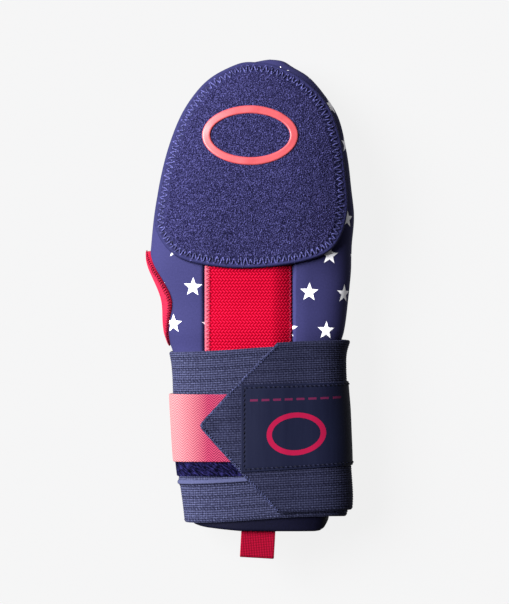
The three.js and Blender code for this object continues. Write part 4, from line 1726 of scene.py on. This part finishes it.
# A node tree that turns a seam line into sewn thread: zigzag across the line, arching up between
# its needle holes, or running along it, where every second stitch dips out of sight
def makeThreadTree():
    tree, given = startTree("sewnThread", (
        ("Geometry", "Geometry"), ("Pitch", "Float"), ("Width", "Float"), ("Rise", "Float"),
        ("Running", "Float"), ("Uneven", "Float"), ("Thread", "Float"), ("Material", "Material")))
    line = addNode(tree, "GeometryNodeMeshToCurve", None, {"Mesh": given["Geometry"]})
    place = addNode(tree, "GeometryNodeSplineParameter")
    noise = addNode(tree, "ShaderNodeTexNoise", None, {"Scale": 1 / (2.5 * mm), "Detail": 1.0})
    tangent = addNode(tree, "GeometryNodeInputTangent")
    up = addNode(tree, "GeometryNodeInputNamedAttribute", {"data_type": "FLOAT_VECTOR"}, {"Name": "up"})
    values = calculate(tree, [
        ("step", "DIVIDE", "pitch", 8.0),
        ("phase", "DIVIDE", "length", "pitch"),
        ("doubled", "MULTIPLY", "phase", 2.0),
        ("zigzag", "PINGPONG", "doubled", 1.0),
        ("aside", "SUBTRACT", "zigzag", 0.5),
        ("middle", "SUBTRACT", "noise", 0.5),
        ("unevenness", "MULTIPLY", "middle", "uneven"),
        ("stretch", "ADD", "unevenness", 1.0),
        ("wide", "MULTIPLY", "width", "stretch"),
        ("shift", "MULTIPLY", "aside", "wide"),
        ("turn", "MULTIPLY", "phase", 2 * math.pi),
        ("wave", "SINE", "turn"),
        ("arch", "ABSOLUTE", "wave"),
        ("dip", "SUBTRACT", "wave", "arch"),
        ("dipping", "MULTIPLY", "dip", "running"),
        ("height", "ADD", "arch", "dipping"),
        ("lift", "MULTIPLY", "height", "rise"),
    ], {"pitch": given["Pitch"], "width": given["Width"], "rise": given["Rise"], "running": given["Running"],
        "uneven": given["Uneven"], "noise": noise.outputs["Fac"], "length": place.outputs["Length"]})
    fine = addNode(tree, "GeometryNodeResampleCurve", {"mode": "LENGTH"}, {
        "Curve": line.outputs["Curve"], "Length": values["step"]})
    side = addNode(tree, "ShaderNodeVectorMath", {"operation": "CROSS_PRODUCT"}, {
        0: tangent.outputs["Tangent"], 1: up.outputs["Attribute"]})
    sideways = addNode(tree, "ShaderNodeVectorMath", {"operation": "SCALE"}, {
        0: side.outputs["Vector"], "Scale": values["shift"]})
    upwards = addNode(tree, "ShaderNodeVectorMath", {"operation": "SCALE"}, {
        0: up.outputs["Attribute"], "Scale": values["lift"]})
    offset = addNode(tree, "ShaderNodeVectorMath", {"operation": "ADD"}, {
        0: sideways.outputs["Vector"], 1: upwards.outputs["Vector"]})
    moved = addNode(tree, "GeometryNodeSetPosition", None, {
        "Geometry": fine.outputs["Curve"], "Offset": offset.outputs["Vector"]})
    profile = addNode(tree, "GeometryNodeCurvePrimitiveCircle", {"mode": "RADIUS"}, {
        "Resolution": 6, "Radius": given["Thread"]})
    thread = addNode(tree, "GeometryNodeCurveToMesh", None, {
        "Curve": moved.outputs["Geometry"], "Profile Curve": profile.outputs["Curve"], "Fill Caps": True})
    whole = addNode(tree, "GeometryNodeRealizeInstances", None, {"Geometry": thread.outputs["Mesh"]})
    painted = addNode(tree, "GeometryNodeSetMaterial", None, {
        "Geometry": whole.outputs["Geometry"], "Material": given["Material"]})
    addNode(tree, "NodeGroupOutput", None, {"Geometry": painted.outputs["Geometry"]})
    return tree


# A tree that scatters small leaning loops over a face of cloth
def makePileTree():
    tree, given = startTree("terryPile", (
        ("Geometry", "Geometry"), ("Spacing", "Float"), ("Loop", "Float"), ("Seed", "Int"), ("Material", "Material")))
    points = addNode(tree, "GeometryNodeDistributePointsOnFaces", {"distribute_method": "POISSON"}, {
        "Mesh": given["Geometry"], "Distance Min": given["Spacing"], "Density Max": 2.5e6, "Seed": given["Seed"]})
    bead = addNode(tree, "GeometryNodeMeshIcoSphere", None, {"Radius": given["Loop"], "Subdivisions": 1})
    lean = addNode(tree, "FunctionNodeRandomValue", {"data_type": "FLOAT_VECTOR"}, {
        "Min": (-0.7, -0.7, -3.14), "Max": (0.7, 0.7, 3.14), "Seed": given["Seed"]})
    size = addNode(tree, "FunctionNodeRandomValue", {"data_type": "FLOAT_VECTOR"}, {
        "Min": (0.8, 0.45, 0.5), "Max": (1.4, 0.8, 1.1), "Seed": given["Seed"]})
    placed = addNode(tree, "GeometryNodeInstanceOnPoints", None, {
        "Points": points.outputs["Points"], "Instance": bead.outputs["Mesh"],
        "Rotation": lean.outputs["Value"], "Scale": size.outputs["Value"]})
    whole = addNode(tree, "GeometryNodeRealizeInstances", None, {"Geometry": placed.outputs["Instances"]})
    painted = addNode(tree, "GeometryNodeSetMaterial", None, {
        "Geometry": whole.outputs["Geometry"], "Material": given["Material"]})
    addNode(tree, "NodeGroupOutput", None, {"Geometry": painted.outputs["Geometry"]})
    return tree


# Runs a tree on a piece and keeps the result as a plain mesh
def applyTree(piece, tree, inputs, material):
    sockets = {item.name: item.identifier for item in tree.interface.items_tree if item.in_out == "INPUT"}
    made = piece.modifiers.new("made", "NODES")
    made.node_group = tree
    for name, value in inputs.items():
        made[sockets[name]] = value
    made[sockets["Material"]] = material
    bakeModifiers(piece)
    piece.data.polygons.foreach_set("use_smooth", [True] * len(piece.data.polygons))
    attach(piece, "root")
    return piece


threadTree = makeThreadTree()
pileTree = makePileTree()


# Sews a thread along points on a surface whose normals are given; sizes in millimetres
def sew(name, points, normals, size, material, closed=False):
    points, normals = points.reshape(-1, 3), normals.reshape(-1, 3)
    count = len(points)
    mesh = bpy.data.meshes.new(name)
    edges = [(k, (k + 1) % count) for k in range(count if closed else count - 1)]
    mesh.from_pydata(toFrame(points + normals * size["sit"]).tolist(), edges, [])
    mesh.attributes.new("up", "FLOAT_VECTOR", "POINT").data.foreach_set("vector", normals.ravel())
    piece = bpy.data.objects.new(name, mesh)
    bpy.context.collection.objects.link(piece)
    inputs = {"Pitch": size["pitch"] * mm, "Width": size["width"] * mm, "Rise": size["rise"] * mm,
              "Running": float(size.get("running", 0)), "Uneven": float(size.get("uneven", 0)),
              "Thread": size["thread"] / 2 * mm}
    applyTree(piece, threadTree, inputs, material)


padSeam = {"pitch": 3.3, "width": 6.0, "rise": 0.4, "thread": 1.05, "sit": -0.2, "uneven": 2.0, "fromEdge": 4.1}
selvedgeSeam = {"pitch": 2.3, "width": 2.6, "rise": 0.1, "thread": 0.4, "sit": 0.0, "fromEdge": 2.2}
pinkSeam = {"pitch": 2.4, "width": 1.4, "rise": 0.1, "thread": 0.4, "sit": 0.0, "fromEdge": 1.4}
pointSeam = {"pitch": 1.7, "width": 1.9, "rise": 0.2, "thread": 0.5, "sit": 0.0, "uneven": 0.5, "fromEdge": 0.95}
labelSeam = {"pitch": 2.7, "width": 0.6, "rise": 0.3, "thread": 0.65, "sit": -0.1, "running": 1, "fromEdge": 1.7}
bindingSeam = {"pitch": 1.5, "width": 2.2, "rise": 0.25, "thread": 0.6, "sit": 0.05, "fromEdge": 0.77}
terryLoops = {"spacing": 0.89, "loop": 0.46, "seed": 5, "fromEdge": 6.2}


def sewPad():
    near = np.array([0, padSeam["fromEdge"] - 0.2, padSeam["fromEdge"], padSeam["fromEdge"] + 0.2])
    base, normals, height = padSurface(near, 2, 900)
    sew("padStitches", grown(base, normals, height)[2], normals[2], padSeam, looks["navyThread"], True)


def addTerryLoops():
    near = np.array([0, 2.2, 4.2, terryLoops["fromEdge"], 6.8, 7.4, 8.0, 8.8, 9.6])
    base, normals, height = padSurface(near, 40, 200)
    grid = grown(base, normals, height)[3:]
    high, wide = grid.shape[:2]
    faces = [[i * wide + j, i * wide + (j + 1) % wide, (i + 1) * wide + (j + 1) % wide, (i + 1) * wide + j]
             for i in range(high - 1) for j in range(wide)]
    piece = addMesh("terryLoops", grid, faces)
    applyTree(piece, pileTree, {"Spacing": terryLoops["spacing"] * mm, "Loop": terryLoops["loop"] * mm,
                                "Seed": terryLoops["seed"]}, looks["terry"])


def sewElastic():
    size = elastic
    left = elasticShift - size["width"] / 2
    along = np.linspace(size["low"] + 1, size["high"] - 1, 200)
    for name, seam, across, look in (
            ("selvedgeStitches", selvedgeSeam, selvedgeSeam["fromEdge"], looks["redThread"]),
            ("edgeStitches", pinkSeam, size["width"] - pinkSeam["fromEdge"], looks["pinkThread"])):
        spread = np.array([across - 0.5, across, across + 0.5])
        base = topPoint(left + spread[None, :], along[:, None])
        normals = gridNormals(base)
        rise = size["selvedgeRise"] if across < size["selvedge"] else 0
        high = elasticHeight(spread[None, :], along[:, None]) + rise
        sew(name, grown(base, normals, high)[:, 1], normals[:, 1], seam, look)


def sewPoint():
    share = np.linspace(0.012, 0.988, 500)
    leftX, leftY = outerEdges(share)
    leftY = leftY + strap["tilt"] * leftX
    x = leftX + pointSeam["fromEdge"] * 1.35
    u = outerLength(x, leftY)
    normals = wrapNormal(u, leftY)
    line = grown(wrapPoint(u, leftY), normals, standOff(x, 1) + strap["thickness"] + strapWaves(u, leftY, 22))
    sew("pointStitches", line, normals, pointSeam, looks["paleThread"])


def sewLabel():
    size = labelSeam["fromEdge"]
    wide, tall = label["width"] + label["overFlank"], label["height"]
    corners = [(wide, size), (size, size), (size, tall - size), (wide, tall - size)]
    path = np.concatenate([np.linspace(a, b, 120, endpoint=False) for a, b in zip(corners, corners[1:])])
    base, offset = labelPlace(path[:, 0], path[:, 1])
    normals = wrapNormal(labelLeft + path[:, 0], base[:, 1])
    sew("labelStitches", grown(base, normals, offset + label["thickness"]), normals, labelSeam,
        looks["darkThread"])


def sewBinding():
    turn = np.linspace(0, 2 * math.pi, 361)[:-1]
    base, normals = bindingPlace(turn, bindingSeam["fromEdge"])
    sew("bindingStitches", grown(base, normals, 0.6 + earLift(turn)), normals, bindingSeam,
        looks["redThread"], True)


sewPad()
sewBinding()
addTerryLoops()
sewElastic()
sewPoint()
sewLabel()
print("stage: stitches made")


# Studio: a pale lit table and one broad soft light from the left

studio = {
    "tableGlow": 0.86,
    "tableGap": 0.1,  # so that the flat undersides and the table don't share a plane
    "table": "222223",
    "sun": 18,
    "sunSpread": 40,
    "sunFrom": (-1.0, 0.42, 0.9),
    "world": 0.05,
}


# A white acrylic light table: it glows evenly, so that only a faint shadow shows on it
def addFloor():
    floorMesh = bpy.data.meshes.new("studioFloor")
    reach = 6.0
    low = -studio["tableGap"] * mm
    corners = [(-reach, -reach, low), (reach, -reach, low), (reach, reach, low), (-reach, reach, low)]
    floorMesh.from_pydata(corners, [], [(0, 1, 2, 3)])
    floor = bpy.data.objects.new("studioFloor", floorMesh)
    bpy.context.collection.objects.link(floor)
    material, tree, shader = startMaterial("opalAcrylicTable", 0.9, 0.0, "ffffff", 0.0)
    shader.inputs["Base Color"].default_value = linear(studio["table"])
    shader.inputs["Emission Color"].default_value = (1, 1, 1, 1)
    shader.inputs["Emission Strength"].default_value = studio["tableGlow"]
    floor.data.materials.append(material)


# One broad soft light from the left and a little from the fingertips' side
def addSun():
    data = bpy.data.lights.new("softKey", "SUN")
    data.energy = studio["sun"]
    data.angle = math.radians(studio["sunSpread"])
    light = bpy.data.objects.new("softKey", data)
    light.rotation_euler = (-Vector(studio["sunFrom"])).to_track_quat("-Z", "Y").to_euler()
    bpy.context.collection.objects.link(light)


addFloor()
addSun()
world = bpy.data.worlds.new("studioWorld")
world.use_nodes = True
world.node_tree.nodes["Background"].inputs["Color"].default_value = (1, 1, 1, 1)
world.node_tree.nodes["Background"].inputs["Strength"].default_value = studio["world"]
bpy.context.scene.world = world
bpy.context.scene.view_settings.view_transform = "Standard"
print("stage: studio made")
